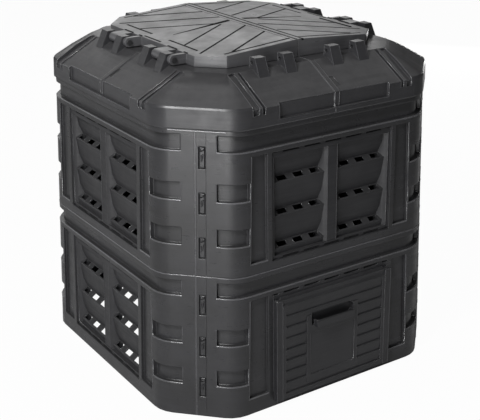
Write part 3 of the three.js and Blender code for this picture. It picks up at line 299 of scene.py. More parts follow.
@dataclass(frozen=True)
class Plastic:
    """Black polypropylene, injection moulded in a spark-eroded mould.

    It gives the eye a satin sheen with soft highlights, paler clouds and streaks where the melt flowed,
    and a little dust on what faces up.

    Attributes:
        name: Name of the material.
        slot: Name of its material slot, which the script only reads to tell which rolls skip windows, lock slots and
            ears.
        colour: Plain colour.
        cloud: Colour of the paler clouds in it.
        dust: Colour of the dust on upward faces.
        dust_share: How much of it lies there.
        roughness: Plain roughness.
        edge: Round along the edges.
        specular: Specular level.
        paler: How much paler all its colours are than written.
        cloud_size: Width of a cloud in millimetres.
        speck_size: Width of a patch of dust.
        patch_size: Width of a patch with its own gloss.
        wave_size: From one slow wave of the surface to the next.
        wave_depth: Depth of such a wave.
        streak_length: Length of a flow streak, level along the walls.
        streak_height: Height of a flow streak.
        grain_size: Width of the mould's grain. The real one is about 0.2 mm, too fine to show.
        grain_depth: Depth of the grain.
        cloud_part: Part of the cloud pattern that is spread out, from no cloud to a full one.
        streak_part: The same for streaks.
        speck_part: The same for patches of dust.
        patch_part: The same for patches of gloss, from the glossiest to the dullest.
        streak_share: How pale a full streak is, next to a full cloud.
        dust_least_up: How far upward a face has to look to hold dust, from 0 to 1.
        dust_least: Share of the dust that lies between the specks.
        patch_change: What the glossiest and the dullest patch add to the roughness.
        streak_gloss: What a full streak takes from it.
        layering: Strength of each finer layer of a pattern, next to the one before it.
        index: Index of refraction of polypropylene.
    """

    name: str
    slot: str
    colour: str
    cloud: str
    dust: str
    dust_share: float
    roughness: float
    edge: Edge
    specular: float = 0.5
    paler: float = 1.0
    cloud_size: float = 110.0
    speck_size: float = 13.0
    patch_size: float = 33.0
    wave_size: float = 70.0
    wave_depth: float = 0.4
    streak_length: float = 140.0
    streak_height: float = 5.0
    grain_size: float = 0.8
    grain_depth: float = 0.05
    cloud_part: tuple[float, float] = (0.38, 0.68)
    streak_part: tuple[float, float] = (0.42, 0.72)
    speck_part: tuple[float, float] = (0.35, 0.7)
    patch_part: tuple[float, float] = (0.3, 0.7)
    streak_share: float = 0.8
    dust_least_up: float = 0.35
    dust_least: float = 0.35
    patch_change: tuple[float, float] = (-0.06, 0.08)
    streak_gloss: float = 0.07
    layering: float = 0.6
    index: float = 1.49

    def painted_highlight(self, paler: float) -> "Plastic":
        """The same plastic for the rolls along edges, painted paler as a painted highlight, and smoother.

        Args:
            paler: How much paler they are.

        Returns:
            The finish of such edges.
        """
        return replace(self, name=self.name + "_edges", paler=paler, roughness=0.24, edge=Edge.THIN, specular=0.8)

    def build(self) -> bpy.types.Material:
        """Makes the material with its nodes.

        Returns:
            The finished material.
        """
        material = bpy.data.materials.new(self.name)
        material.use_nodes = True
        tree = material.node_tree
        shader = tree.nodes["Principled BSDF"]
        shader.inputs["Specular IOR Level"].default_value = self.specular
        shader.inputs["IOR"].default_value = self.index
        tree.links.new(self.tint(tree), shader.inputs["Base Color"])
        tree.links.new(self.gloss(tree), shader.inputs["Roughness"])
        tree.links.new(self.surface(tree), shader.inputs["Normal"])
        return material

    def spread(self, tree: bpy.types.NodeTree, width: float, detail: float, part: tuple[float, float] = (0.0, 1.0),
               limits: tuple[float, float] = (0.0, 1.0), height: float | None = None) -> bpy.types.NodeSocket:
        """Makes a cloudy pattern between two limits.

        Args:
            tree: Tree of the material.
            width: Width of a cloud in millimetres.
            detail: Finer layers in it.
            part: Part of the pattern that is spread out.
            limits: What its ends become.
            height: Height of a cloud in millimetres, if it differs from the width.

        Returns:
            The pattern's value.
        """
        place = add_node(tree, "ShaderNodeTexCoord").outputs["Object"]
        scales = tuple(1.0 / (size * MM) for size in (width, width, height or width))
        drawn = add_node(tree, "ShaderNodeMapping", {"Vector": place, "Scale": scales})
        clouds = add_node(tree, "ShaderNodeTexNoise", {
            "Vector": drawn.outputs[0], "Scale": 1.0, "Detail": detail, "Roughness": self.layering,
        })
        return add_node(tree, "ShaderNodeMapRange", {
            "Value": clouds.outputs["Fac"], "From Min": part[0], "From Max": part[1], "To Min": limits[0],
            "To Max": limits[1],
        }).outputs["Result"]

    def streaks(self, tree: bpy.types.NodeTree, share: float) -> bpy.types.NodeSocket:
        """Makes level flow streaks.

        Args:
            tree: Tree of the material.
            share: Value of the strongest streak.

        Returns:
            The streaks' value, from zero.
        """
        return self.spread(tree, self.streak_length, detail=3.0, part=self.streak_part, limits=(0.0, share),
                           height=self.streak_height)

    def tint(self, tree: bpy.types.NodeTree) -> bpy.types.NodeSocket:
        """Makes the colour: clouds, streaks and dust over the plain one.

        Args:
            tree: Tree of the material.

        Returns:
            The colour.
        """
        clouds = self.spread(tree, self.cloud_size, detail=5.0, part=self.cloud_part)
        streaks = self.streaks(tree, self.streak_share)
        flowed = add_node(tree, "ShaderNodeMath", {0: clouds, 1: streaks}, operation="ADD")
        plain = add_node(tree, "ShaderNodeMix", {
            0: flowed.outputs[0], 6: linear(self.colour, self.paler), 7: linear(self.cloud, self.paler),
        }, data_type="RGBA")
        normal = add_node(tree, "ShaderNodeNewGeometry").outputs["Normal"]
        facing = add_node(tree, "ShaderNodeSeparateXYZ", {0: normal})
        lying = add_node(tree, "ShaderNodeMapRange", {
            "Value": facing.outputs["Z"], "From Min": self.dust_least_up, "From Max": 1.0, "To Max": self.dust_share,
        })
        specks = self.spread(tree, self.speck_size, detail=6.0, part=self.speck_part, limits=(self.dust_least, 1.0))
        dusty = add_node(tree, "ShaderNodeMath", {0: lying.outputs[0], 1: specks}, operation="MULTIPLY")
        return add_node(tree, "ShaderNodeMix", {
            0: dusty.outputs[0], 6: plain.outputs[2], 7: linear(self.dust, self.paler),
        }, data_type="RGBA").outputs[2]

    def gloss(self, tree: bpy.types.NodeTree) -> bpy.types.NodeSocket:
        """Makes the roughness: patches of their own gloss, with shinier streaks.

        Args:
            tree: Tree of the material.

        Returns:
            The roughness.
        """
        low, high = [self.roughness + change for change in self.patch_change]
        patches = self.spread(tree, self.patch_size, detail=4.0, part=self.patch_part, limits=(low, high))
        streaks = self.streaks(tree, self.streak_gloss)
        return add_node(tree, "ShaderNodeMath", {0: patches, 1: streaks}, operation="SUBTRACT").outputs[0]

    def surface(self, tree: bpy.types.NodeTree) -> bpy.types.NodeSocket:
        """Makes the normal: rounded edges, slow waves and grain.

        Args:
            tree: Tree of the material.

        Returns:
            The normal.
        """
        normal = add_node(tree, "ShaderNodeBevel", {"Radius": self.edge.value}, samples=8).outputs["Normal"]
        for size, depth in ((self.wave_size, self.wave_depth), (self.grain_size, self.grain_depth)):
            height = self.spread(tree, size, detail=2.0)
            normal = add_node(tree, "ShaderNodeBump", {
                "Distance": depth * MM, "Height": height, "Normal": normal,
            }).outputs["Normal"]
        return normal


WALL = Plastic(
    "moulded_polypropylene_walls", "wall_plastic", colour="262627", cloud="2D2D2F", dust="454544", dust_share=0.3,
    roughness=0.34, edge=Edge.BROAD,
)
HOOD = Plastic(
    "moulded_polypropylene_hood", "hood_plastic", colour="2B2B2D", cloud="323234", dust="4B4A4A", dust_share=0.35,
    roughness=0.38, edge=Edge.PLAIN,
)
LID = Plastic(
    "moulded_polypropylene_lid", "lid_plastic", colour="454547", cloud="505052", dust="656564", dust_share=0.5,
    roughness=0.38, edge=Edge.PLAIN, specular=0.6, wave_depth=0.3, grain_depth=0.03,
)
LOUVRE = Plastic(
    "moulded_polypropylene_louvres", "louvre_plastic", colour="222224", cloud="2A2A2C", dust="454544",
    dust_share=0.35, roughness=0.5, edge=Edge.FINE, specular=0.4,
)
HATCH = Plastic(
    "moulded_polypropylene_hatch", "hatch_plastic", colour="222224", cloud="29292B", dust="454544", dust_share=0.3,
    roughness=0.38, edge=Edge.FINE,
)
FITTING = Plastic(
    "moulded_polypropylene_fittings", "fitting_plastic", colour="272728", cloud="2E2E2F", dust="454544",
    dust_share=0.3, roughness=0.4, edge=Edge.THIN,
)

# Painted shade: the same plastic made nearly black, standing for the dark deep in a gap or groove, where hardly any
# light reaches it.
SHADE = Plastic(
    "moulded_polypropylene_in_shadow", "louvre_plastic", colour="0B0B0C", cloud="0E0E0F", dust="121212",
    dust_share=0.0, roughness=0.7, edge=Edge.THIN, specular=0.2,
)


def ride_plain(piece: bpy.types.Object, body: Body) -> None:
    """Parents a finished piece to the empty of its body, and logs it.

    Args:
        piece: The piece.
        body: Body that it moves with.
    """
    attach(piece, body.value)
    log.info("%s rides on %s", piece.name, body.value)


# Shading of the moulded pieces

# How far upward an edge has to face to get a roll, from -1 to 1: outer edges, the ledges of the walls, and grooves.
EDGE_LEAST_UP = -0.2
LEDGE_LEAST_UP = 0.3
GROOVE_LEAST_UP = 0.2


@dataclass
class MouldedFaces:
    """Turns the loose faces of a solid into smooth ones that meet in clear edges.

    Attributes:
        sharp_degrees: Faces that meet at more than this angle keep an edge between them.
        area_weight: How much large faces count for the shading of their edges, 50 for no more than small ones.
        tree: The node tree that does it.
    """

    sharp_degrees: float = 24.0
    area_weight: int = 80
    tree: bpy.types.NodeTree | None = field(default=None, init=False)

    def __post_init__(self) -> None:
        """Makes the node tree that shades a piece smooth."""
        self.tree, start = new_tree("moulded_shading", {"Geometry": "Geometry"})
        angle = add_node(self.tree, "GeometryNodeInputMeshEdgeAngle").outputs["Unsigned Angle"]
        wide = add_node(self.tree, "FunctionNodeCompare", {0: angle, 1: math.radians(self.sharp_degrees)},
                        operation="GREATER_THAN")
        faces = add_node(self.tree, "GeometryNodeSetShadeSmooth", {"Geometry": start.outputs[0]}, domain="FACE")
        edges = add_node(self.tree, "GeometryNodeSetShadeSmooth", {
            "Geometry": faces.outputs[0], "Selection": wide.outputs["Result"], "Shade Smooth": False,
        }, domain="EDGE")
        add_node(self.tree, "NodeGroupOutput", {0: edges.outputs[0]})

    def smooth(self, piece: bpy.types.Object) -> None:
        """Shades one piece with modifiers.

        Args:
            piece: The piece.
        """
        weld = piece.modifiers.new("merge", "WELD")
        weld.merge_threshold = MERGE_DISTANCE
        flat = piece.modifiers.new("flat_faces", "DECIMATE")
        flat.decimate_type = "DISSOLVE"
        flat.angle_limit = FLAT_ANGLE
        smooth = piece.modifiers.new("smooth", "NODES")
        smooth.node_group = self.tree
        weighted = piece.modifiers.new("weighted", "WEIGHTED_NORMAL")
        weighted.keep_sharp = True
        weighted.weight = self.area_weight


@dataclass
class EdgeRolls:
    """Slim rolls along the outer edges of moulded pieces, which catch the light as rounded edges do.

    Attributes:
        least_degrees: Faces that meet at more than this angle get a roll between them.
        sides: Sides of a roll.
        sunk: How deep the middle of a roll lies in the piece, as a share of its radius.
        margin: How far the rolls keep inside the outermost faces of the whole.
        window: Half the width of the windows, whose rims have no rolls.
        heights: From the bottom to the top of each tier's windows.
        slot: From the middle of a corner to the near and far side of its lock slots, which have none either.
        ledge: Height of the hood's ledge, above which the ears have none.
        hinge: Least distance to the side, most distance to the front or back and least height of the place below
            the hinges that has none, so that the open flaps clear it.
        concave: Whether the rolls lie in inner edges instead, such as those of grooves.
        lowest: Height below which there are no rolls.
    """

    least_degrees: float = 50.0
    sides: int = 7
    sunk: float = 0.8
    margin: float = 0.0012
    window: float = 0.1815
    heights: tuple[tuple[float, float], ...] = ((0.031, 0.285), (0.362, 0.616))
    slot: tuple[float, float] = (0.001, 0.0199)
    ledge: float = 0.7705
    hinge: tuple[float, float, float] = (0.22, 0.182, 0.72)
    concave: bool = False
    lowest: float = 0.0

    def is_bare(self, end: Vector) -> bool:
        """Tells whether a point lies on a window's rim, in a lock slot or near a hinge.

        Args:
            end: The point.

        Returns:
            Whether no roll may end there.
        """
        aside, reach, height = self.hinge
        if end.z > self.ledge or (abs(end.x) > aside and abs(end.y) < reach and end.z > height):
            return True
        x, y = end.x, end.y - PLAN.shift
        across = min(abs(x), abs(y))
        if across < self.window:
            return any(low < end.z < high for low, high in self.heights)
        along = (abs(x) - abs(y)) / math.sqrt(2.0)
        near, far = self.slot
        return near < (along if x * y < 0.0 else -along) < far

    def merged(self, nodes: list[str], bare: bool) -> bpy.types.Mesh:
        """Copies solids into one mesh with whole flat faces.

        Args:
            nodes: Names of the solids.
            bare: Whether window rims, lock slots and the hinges' surroundings get no rolls.

        Returns:
            The mesh.
        """
        whole = bmesh.new()
        for name in nodes:
            whole.from_mesh(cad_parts[name].data)
        bmesh.ops.remove_doubles(whole, verts=whole.verts, dist=MERGE_DISTANCE)
        bmesh.ops.dissolve_limit(
            whole, angle_limit=FLAT_ANGLE, verts=whole.verts, edges=whole.edges, use_dissolve_boundaries=False,
        )
        free = whole.edges.layers.bool.new("open")
        for edge in whole.edges:
            edge[free] = not (bare and all(self.is_bare(vertex.co) for vertex in edge.verts))
        return kept_mesh("merged", whole)

    def tree(self, material: bpy.types.Material) -> bpy.types.NodeTree:
        """Makes the tree that lays rolls along the open sharp edges.

        Args:
            material: Material of the rolls.

        Returns:
            A tree with inputs for the radius, the least upward turn and the box that the rolls stay in.
        """
        tree, start = new_tree("edge_rolls", {
            "Geometry": "Geometry", "Radius": "Float", "Least Up": "Float", "Low": "Vector", "High": "Vector",
        })
        given = start.outputs
        angle = add_node(tree, "GeometryNodeInputMeshEdgeAngle").outputs["Signed Angle"]
        normal = add_node(tree, "GeometryNodeInputNormal").outputs[0]
        facing = add_node(tree, "ShaderNodeSeparateXYZ", {0: normal}).outputs["Z"]
        place = add_node(tree, "GeometryNodeInputPosition").outputs[0]
        sharp = math.radians(self.least_degrees)
        tests = (
            ("FLOAT", "LESS_THAN", angle, -sharp) if self.concave else ("FLOAT", "GREATER_THAN", angle, sharp),
            ("FLOAT", "GREATER_THAN", facing, given["Least Up"]),
            ("VECTOR", "GREATER_THAN", place, given["Low"]),
            ("VECTOR", "LESS_THAN", place, given["High"]),
        )
        chosen = add_node(tree, "GeometryNodeInputNamedAttribute", {"Name": "open"},
                          data_type="BOOLEAN").outputs["Attribute"]
        for kind, operation, value, limit in tests:
            first = 4 if kind == "VECTOR" else 0  # The node has its own pair of inputs for each kind of value.
            test = add_node(tree, "FunctionNodeCompare", {first: value, first + 1: limit}, data_type=kind,
                            operation=operation, mode="ELEMENT").outputs["Result"]
            chosen = add_node(tree, "FunctionNodeBooleanMath", {0: chosen, 1: test}, operation="AND").outputs[0]
        kept = add_node(tree, "GeometryNodeStoreNamedAttribute", {
            "Geometry": given["Geometry"], "Name": "rolled", "Value": chosen,
        }, data_type="BOOLEAN", domain="EDGE")
        depth = add_node(tree, "ShaderNodeMath", {0: given["Radius"], 1: -self.sunk}, operation="MULTIPLY")
        sink = add_node(tree, "ShaderNodeVectorMath", {0: normal, "Scale": depth.outputs[0]}, operation="SCALE")
        moved = add_node(tree, "GeometryNodeSetPosition", {"Geometry": kept.outputs[0], "Offset": sink.outputs[0]})
        rolled = add_node(tree, "GeometryNodeInputNamedAttribute", {"Name": "rolled"}, data_type="BOOLEAN")
        lines = add_node(tree, "GeometryNodeMeshToCurve", {
            "Mesh": moved.outputs[0], "Selection": rolled.outputs["Attribute"],
        })
        end_tree(tree, add_rods(tree, lines.outputs[0], given["Radius"], self.sides), material)
        return tree

    def build(self, name: str, nodes: list[str], radius: float, body: Body, coat: Plastic,
              least_up: float = EDGE_LEAST_UP) -> None:
        """Lays the rolls of some solids.

        Args:
            name: Name of the new piece.
            nodes: The solids.
            radius: Radius of the rolls.
            body: Body that the solids move with.
            coat: Finish of the rolls.
            least_up: How far upward an edge has to face, from -1 to 1.
        """
        margin = Vector((self.margin,) * 3)
        low, high = Vector(CAD_BOX[0]) + margin, Vector(CAD_BOX[1]) - margin
        low.z = max(low.z, self.lowest)
        values = {"Radius": radius, "Least Up": least_up, "Low": low, "High": high}
        bare = coat.slot in (WALL.slot, HOOD.slot)  # Only these have windows, lock slots or ears.
        piece = grown_mesh(name, self.tree(coat.build()), values, self.merged(nodes, bare))
        log.info("%s has %d faces", name, len(piece.data.polygons))
        ride_plain(piece, body)


# Sub-assemblies

# Sides of the rods that the beads, the dark lips and lines of painted shade, and the thin corner lines are made of.
THIN_SIDES = 8


@dataclass
class Carried:
    """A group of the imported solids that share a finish.

    Attributes:
        name: What the group is.
        nodes: Names of its solids.
        finish: Their plastic.
    """

    name: str
    nodes: list[str]
    finish: Plastic

    def dress(self, faces: MouldedFaces) -> None:
        """Gives each solid of the group its material and smooth faces.

        Args:
            faces: Maker of the smooth faces.
        """
        material = self.finish.build()
        for name in self.nodes:
            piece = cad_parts[name]
            piece.data.materials.clear()
            piece.data.materials.append(material)
            faces.smooth(piece)
        log.info("%s: %d pieces in %s", self.name, len(self.nodes), self.finish.name)


def carried_groups() -> list[Carried]:
    """Lists the groups of solids.

    Returns:
        One entry for each kind of moulded part.
    """
    sides = ("front", "right", "back", "left")
    corners = ("front_left", "front_right", "back_right", "back_left")
    tiers = ("lower", "upper")
    walls = [f"wall_{tier}_{side}" for tier in tiers for side in sides]
    louvres = [f"louvre_{tier}_{side}" for tier in tiers for side in sides if (tier, side) != ("lower", "front")]
    pins = [f"hinge_pin_{side}_{end}" for side in ("left", "right") for end in ("front", "back")]
    return [
        Carried("walls", walls, WALL),
        Carried("louvre inserts", louvres, LOUVRE),
        Carried("hatch and its frame", ["hatch_frame", "hatch_door"], HATCH),
        Carried("hood quarters", [f"hood_quarter_{corner}" for corner in corners], HOOD),
        Carried("hood clips and hinge pins", [f"hood_clip_{side}" for side in sides] + pins, FITTING),
        Carried("lid flaps", ["lid_left", "lid_right"], LID),
    ]


def rod_rows(material: bpy.types.Material) -> bpy.types.NodeTree:
    """Makes the tree that lays level rods along X, one after the other.

    Args:
        material: Material of the rods.

    Returns:
        A tree with inputs for the first rod's left end, the step to the next, their length, count and radius.
    """
    tree, start = new_tree("rod_rows", {
        "Start": "Vector", "Step": "Vector", "Length": "Float", "Count": "Int", "Radius": "Float",
    })
    given = start.outputs
    reach = add_node(tree, "ShaderNodeCombineXYZ", {"X": given["Length"]})
    line = add_node(tree, "GeometryNodeCurvePrimitiveLine", {"End": reach.outputs[0]})
    rod = add_rods(tree, line.outputs[0], given["Radius"], THIN_SIDES)
    end_tree(tree, add_copies(tree, rod, given["Count"], given["Start"], given["Step"]), material)
    return tree


@dataclass
class HatchBeads:
    """The thin beads along the upper edges of the hatch's slats.

    Attributes:
        front: Place of the door's front at the ground, from the bin's middle.
        highest: Height of the top slat's upper edge.
        pitch: From one slat to the next.
        radius: Radius of a bead.
        sunk: How far a bead's middle lies behind the door's front, as a share of its radius.
        rows: For each row its name, left end, length, slats above it and count. The bare plate splits the lower
            ones in two.
    """

    front: float = -0.39904
    highest: float = 0.255
    pitch: float = 0.028
    radius: float = 0.0009
    sunk: float = 0.4
    rows: tuple[tuple[str, float, float, int, int], ...] = (
        ("slat_beads_high", -0.1405, 0.281, 0, 2),
        ("slat_beads_left", -0.1405, 0.0585, 2, 6),
        ("slat_beads_right", 0.068, 0.0725, 2, 6),
    )

    def build(self, material: bpy.types.Material) -> None:
        """Lays the beads on the door.

        Args:
            material: Material of the beads.
        """
        tree = rod_rows(material)
        for name, across, length, above, count in self.rows:
            height = self.highest - above * self.pitch - self.radius
            values = {
                "Start": Vector((across, self.front + PLAN.lean * height + self.sunk * self.radius, height)),
                "Step": Vector((0.0, -PLAN.lean * self.pitch, -self.pitch)),
                "Length": length, "Count": count, "Radius": self.radius,
            }
            ride_plain(grown_mesh(name, tree, values), Body.HATCH)


@dataclass
class CornerLines:
    """Thin lines on the cut-off corners: one upright beside the lock slots, one level below the hood's rim as a
    painted highlight.

    Attributes:
        along: From the middle of a corner to the upright line.
        depth: How far a line's middle lies behind the wall's face.
        radius: Radius of the upright lines.
        ends: Lower and upper end of the upright line of each tier.
        belt: Height of the level line.
        belt_half: Half its length.
        belt_radius: Its radius.
    """

    along: float = 0.0194
    depth: float = 0.0001
    radius: float = 0.0005
    ends: tuple[tuple[str, tuple[float, float]], ...] = (("lower", (0.012, 0.341)), ("upper", (0.349, 0.667)))
    belt: float = 0.6695
    belt_half: float = 0.062
    belt_radius: float = 0.0019

    def tree(self, material: bpy.types.Material) -> bpy.types.NodeTree:
        """Makes the tree that draws a line on each corner.

        Args:
            material: Material of the lines.

        Returns:
            A tree with inputs for the line's ends, its radius and the middle of the walls.
        """
        tree, start = new_tree("corner_lines", {
            "Start": "Vector", "End": "Vector", "Radius": "Float", "Middle": "Vector",
        })
        given = start.outputs
        line = add_node(tree, "GeometryNodeCurvePrimitiveLine", {"Start": given["Start"], "End": given["End"]})
        rod = add_rods(tree, line.outputs[0], given["Radius"], THIN_SIDES)
        index = add_node(tree, "GeometryNodeInputIndex")
        turn = add_node(tree, "ShaderNodeMath", {0: index.outputs[0], 1: QUARTER_TURN}, operation="MULTIPLY")
        copies = add_copies(tree, rod, CORNERS, given["Middle"], (0.0, 0.0, 0.0), turn.outputs[0])
        end_tree(tree, copies, material)
        return tree

    def build(self, plain: bpy.types.Material, bright: bpy.types.Material) -> None:
        """Draws the lines of every corner.

        Args:
            plain: Material of the upright lines.
            bright: Material of the level ones, pale as a painted highlight.
        """
        rows = [
            (f"corner_lines_{tier}", (self.along, low), (self.along, high), self.radius, plain)
            for tier, (low, high) in self.ends
        ]
        rows.append(
            ("corner_belt", (-self.belt_half, self.belt), (self.belt_half, self.belt), self.belt_radius, bright)
        )
        middle = Vector((0.0, PLAN.shift, 0.0))
        for name, first, last, radius, material in rows:
            start, end = [PLAN.on_corner(along, self.depth, height) for along, height in (first, last)]
            values = {"Start": start, "End": end, "Radius": radius, "Middle": middle}
            ride_plain(grown_mesh(name, self.tree(material), values), Body.BIN)


@dataclass
class SlitShades:
    """Painted shade: dark rods in the gaps between the tabs of the louvre inserts, above and below them.

    Attributes:
        set_back: How far the inserts' frames lie behind the walls' faces.
        pitch: From one tab to the next.
        length: Length of a gap.
        count: Gaps in a row.
        radius: Half the height of a gap's dark lip.
        sunk: How far a lip's middle lies behind the front of the insert's frame, as a share of its radius.
        rows: For each tier the height of its rows, and the sides that have louvres, as quarter turns from the front.
    """

    set_back: float = 0.004
    pitch: float = 0.05768
    length: float = 0.0434
    count: int = 5
    radius: float = 0.0014
    sunk: float = 0.4
    rows: tuple[tuple[str, tuple[float, float], tuple[int, ...]], ...] = (
        ("lower", (0.2787, 0.0378), (1, 2, 3)), ("upper", (0.6092, 0.3683), (0, 1, 2, 3)),
    )

    def build(self, material: bpy.types.Material) -> None:
        """Lays the dark lips of painted shade at every louvre window.

        Args:
            material: Material of the lips.
        """
        tree = rod_rows(material)
        left = -(self.count * self.pitch - self.pitch + self.length) / 2
        for tier, heights, sides in self.rows:
            whole = bmesh.new()
            for height in heights:
                depth = PLAN.half - PLAN.lean * height - self.set_back - self.sunk * self.radius
                row = grown_mesh("slit_row", tree, {
                    "Start": Vector((left, -depth, height)), "Step": Vector((self.pitch, 0.0, 0.0)),
                    "Length": self.length, "Count": self.count, "Radius": self.radius,
                })
                for side in sides:
                    turned = row.data.copy()
                    turned.transform(Matrix.Rotation(side * QUARTER_TURN, 4, "Z"))
                    turned.transform(Matrix.Translation((0.0, PLAN.shift, 0.0)))
                    whole.from_mesh(turned)
                    bpy.data.meshes.remove(turned)
                bpy.data.objects.remove(row)
            name = f"slit_shades_{tier}"
            mesh = kept_mesh(name, whole)
            mesh.materials.append(material)
            ride_plain(add_object(name, mesh), Body.BIN)


@dataclass
class SeamShades:
    """Painted shade: dark rods sunk along the middle of the lid, where the left flap ends, that draw its seam and
    grooves as dark lines.

    Attributes:
        half: Half the lines' length.
        ridge: Height of the lid's ridge.
        fall: Fall of the lid's top for each metre away from the ridge.
        sunk: How deep the middle of a line lies, as a share of its radius.
        lines: For each line its name, its way from the ridge, to the right, and its radius.
    """

    half: float = 0.2428
    ridge: float = 0.8102
    fall: float = 0.0693
    sunk: float = 0.8
    lines: tuple[tuple[str, float, float], ...] = (
        ("lid_seam_line", -0.0056, 0.0019),
        ("lid_seam_line_left", -0.0080, 0.0022),
        ("lid_seam_line_fine", -0.0170, 0.0013),
    )

    def build(self, material: bpy.types.Material) -> None:
        """Lays the dark lines of painted shade in the left flap's top.

        Args:
            material: Material of the lines.
        """
        tree = rod_rows(material)
        for name, across, radius in self.lines:
            height = self.ridge - self.fall * abs(across) - self.sunk * radius
            piece = grown_mesh(name, tree, {
                "Start": Vector((PLAN.shift - self.half, -across, height)), "Step": Vector(),
                "Length": 2 * self.half, "Count": 1, "Radius": radius,
            })
            piece.data.transform(Matrix.Rotation(QUARTER_TURN, 4, "Z"))
            ride_plain(piece, Body.LEFT_FLAP)


@dataclass
class LockRidges:
    """The slanting ridges on the hooks that show in the slots of the corner locks.

    Attributes:
        from_middle: From the middle of the corner to a hook's middle.
        depth: How far a hook's face lies behind the wall's.
        tiers: For each tier its name and the height of its top hook.
        step: From one hook down to the next.
        per_tier: Hooks of a corner in a tier.
        sunk: How deep a ridge's foot lies in the hook, in millimetres.
        rise: How high its crest stands, in millimetres.
        wedges: Foot and crest of each wedge of a hook, to the right and up from its middle, in millimetres: the
            slanting ridge, the step below it and the one above.
    """

    from_middle: float = 0.01045
    depth: float = 0.0013
    tiers: tuple[tuple[str, float], ...] = (("lower", 0.276), ("upper", 0.6125))
    step: float = 0.10125
    per_tier: int = 3
    sunk: float = 0.4
    rise: float = 1.1
    wedges: tuple[tuple[tuple[tuple[float, float], ...], tuple[tuple[float, float], ...]], ...] = (
        (((-3.6, -13.0), (3.6, -4.0), (3.6, 10.0), (-3.6, 4.0)), ((-0.4, -6.0), (1.2, 6.0))),
        (((-4.2, -20.0), (4.2, -20.0), (4.2, -15.5), (-4.2, -17.0)), ((-3.0, -18.4), (3.4, -17.8))),
        (((-4.2, 12.0), (4.2, 15.0), (4.2, 20.0), (-4.2, 20.0)), ((-3.2, 17.6), (3.2, 17.8))),
    )

    def ridge(self) -> bpy.types.Object:
        """Makes the wedges of one hook.

        Returns:
            Its object, lying in the plane of X and Z and rising towards -Y.
        """
        shape = bmesh.new()
        for outline, crest in self.wedges:
            foot = [shape.verts.new((x * MM, self.sunk * MM, z * MM)) for x, z in outline]
            top = [shape.verts.new((x * MM, -self.rise * MM, z * MM)) for x, z in crest]
            shape.faces.new(foot)
            shape.faces.new((foot[0], foot[1], top[0]))
            shape.faces.new((foot[1], foot[2], top[1], top[0]))
            shape.faces.new((foot[2], foot[3], top[1]))
            shape.faces.new((foot[3], foot[0], top[0], top[1]))
        bmesh.ops.recalc_face_normals(shape, faces=shape.faces)
        return bpy.data.objects.new("lock_ridge", kept_mesh("lock_ridge", shape))

    def tree(self, ridge: bpy.types.Object, material: bpy.types.Material) -> bpy.types.NodeTree:
        """Makes the tree that sets a column of ridges.

        Args:
            ridge: The ridge to repeat.
            material: Material of the ridges.

        Returns:
            A tree with inputs for the top, the step down, the count and the turn.
        """
        tree, start = new_tree("lock_column", {"Top": "Vector", "Step": "Vector", "Count": "Int", "Turn": "Float"})
        given = start.outputs
        shape = add_node(tree, "GeometryNodeObjectInfo", {"Object": ridge}).outputs["Geometry"]
        end_tree(tree, add_copies(tree, shape, given["Count"], given["Top"], given["Step"], given["Turn"]), material)
        return tree

    def place(self, corner: int, height: float) -> Vector:
        """The middle of a hook's face.

        Args:
            corner: Quarter turns from the front left corner.
            height: Height above the ground.

        Returns:
            The point.
        """
        point = PLAN.on_corner(self.from_middle, self.depth, height)
        point.rotate(Euler((0.0, 0.0, corner * QUARTER_TURN)))
        return point + Vector((0.0, PLAN.shift, 0.0))

    def build(self, material: bpy.types.Material) -> None:
        """Sets the ridges of every corner.

        Args:
            material: Material of the ridges.
        """
        tree = self.tree(self.ridge(), material)
        for tier, top in self.tiers:
            for corner in range(CORNERS):
                high, low = self.place(corner, top), self.place(corner, top - self.step)
                values = {
                    "Top": high, "Step": low - high, "Count": self.per_tier, "Turn": (corner - 0.5) * QUARTER_TURN,
                }
                piece = grown_mesh(f"lock_ridges_{tier}_{corner}", tree, values, smooth=False)
                ride_plain(piece, Body.BIN)


# Studio


@dataclass(frozen=True)
class Lamp:
    """A soft lamp that faces the bin.

    Attributes:
        name: Name of the lamp.
        place: Where it hangs.
        size: Its width and height.
        power: Its power in watts.
    """

    name: str
    place: tuple[float, float, float]
    size: tuple[float, float]
    power: float

    def hang(self, target: Vector) -> None:
        """Adds the lamp to the scene.

        Args:
            target: Point that it faces.
        """
        data = bpy.data.lights.new(self.name, "AREA")
        data.shape = "RECTANGLE"
        data.size, data.size_y = self.size
        data.energy = self.power
        lamp = add_object(self.name, data)
        lamp.location = self.place
        lamp.rotation_euler = (target - Vector(self.place)).to_track_quat("-Z", "Y").to_euler()


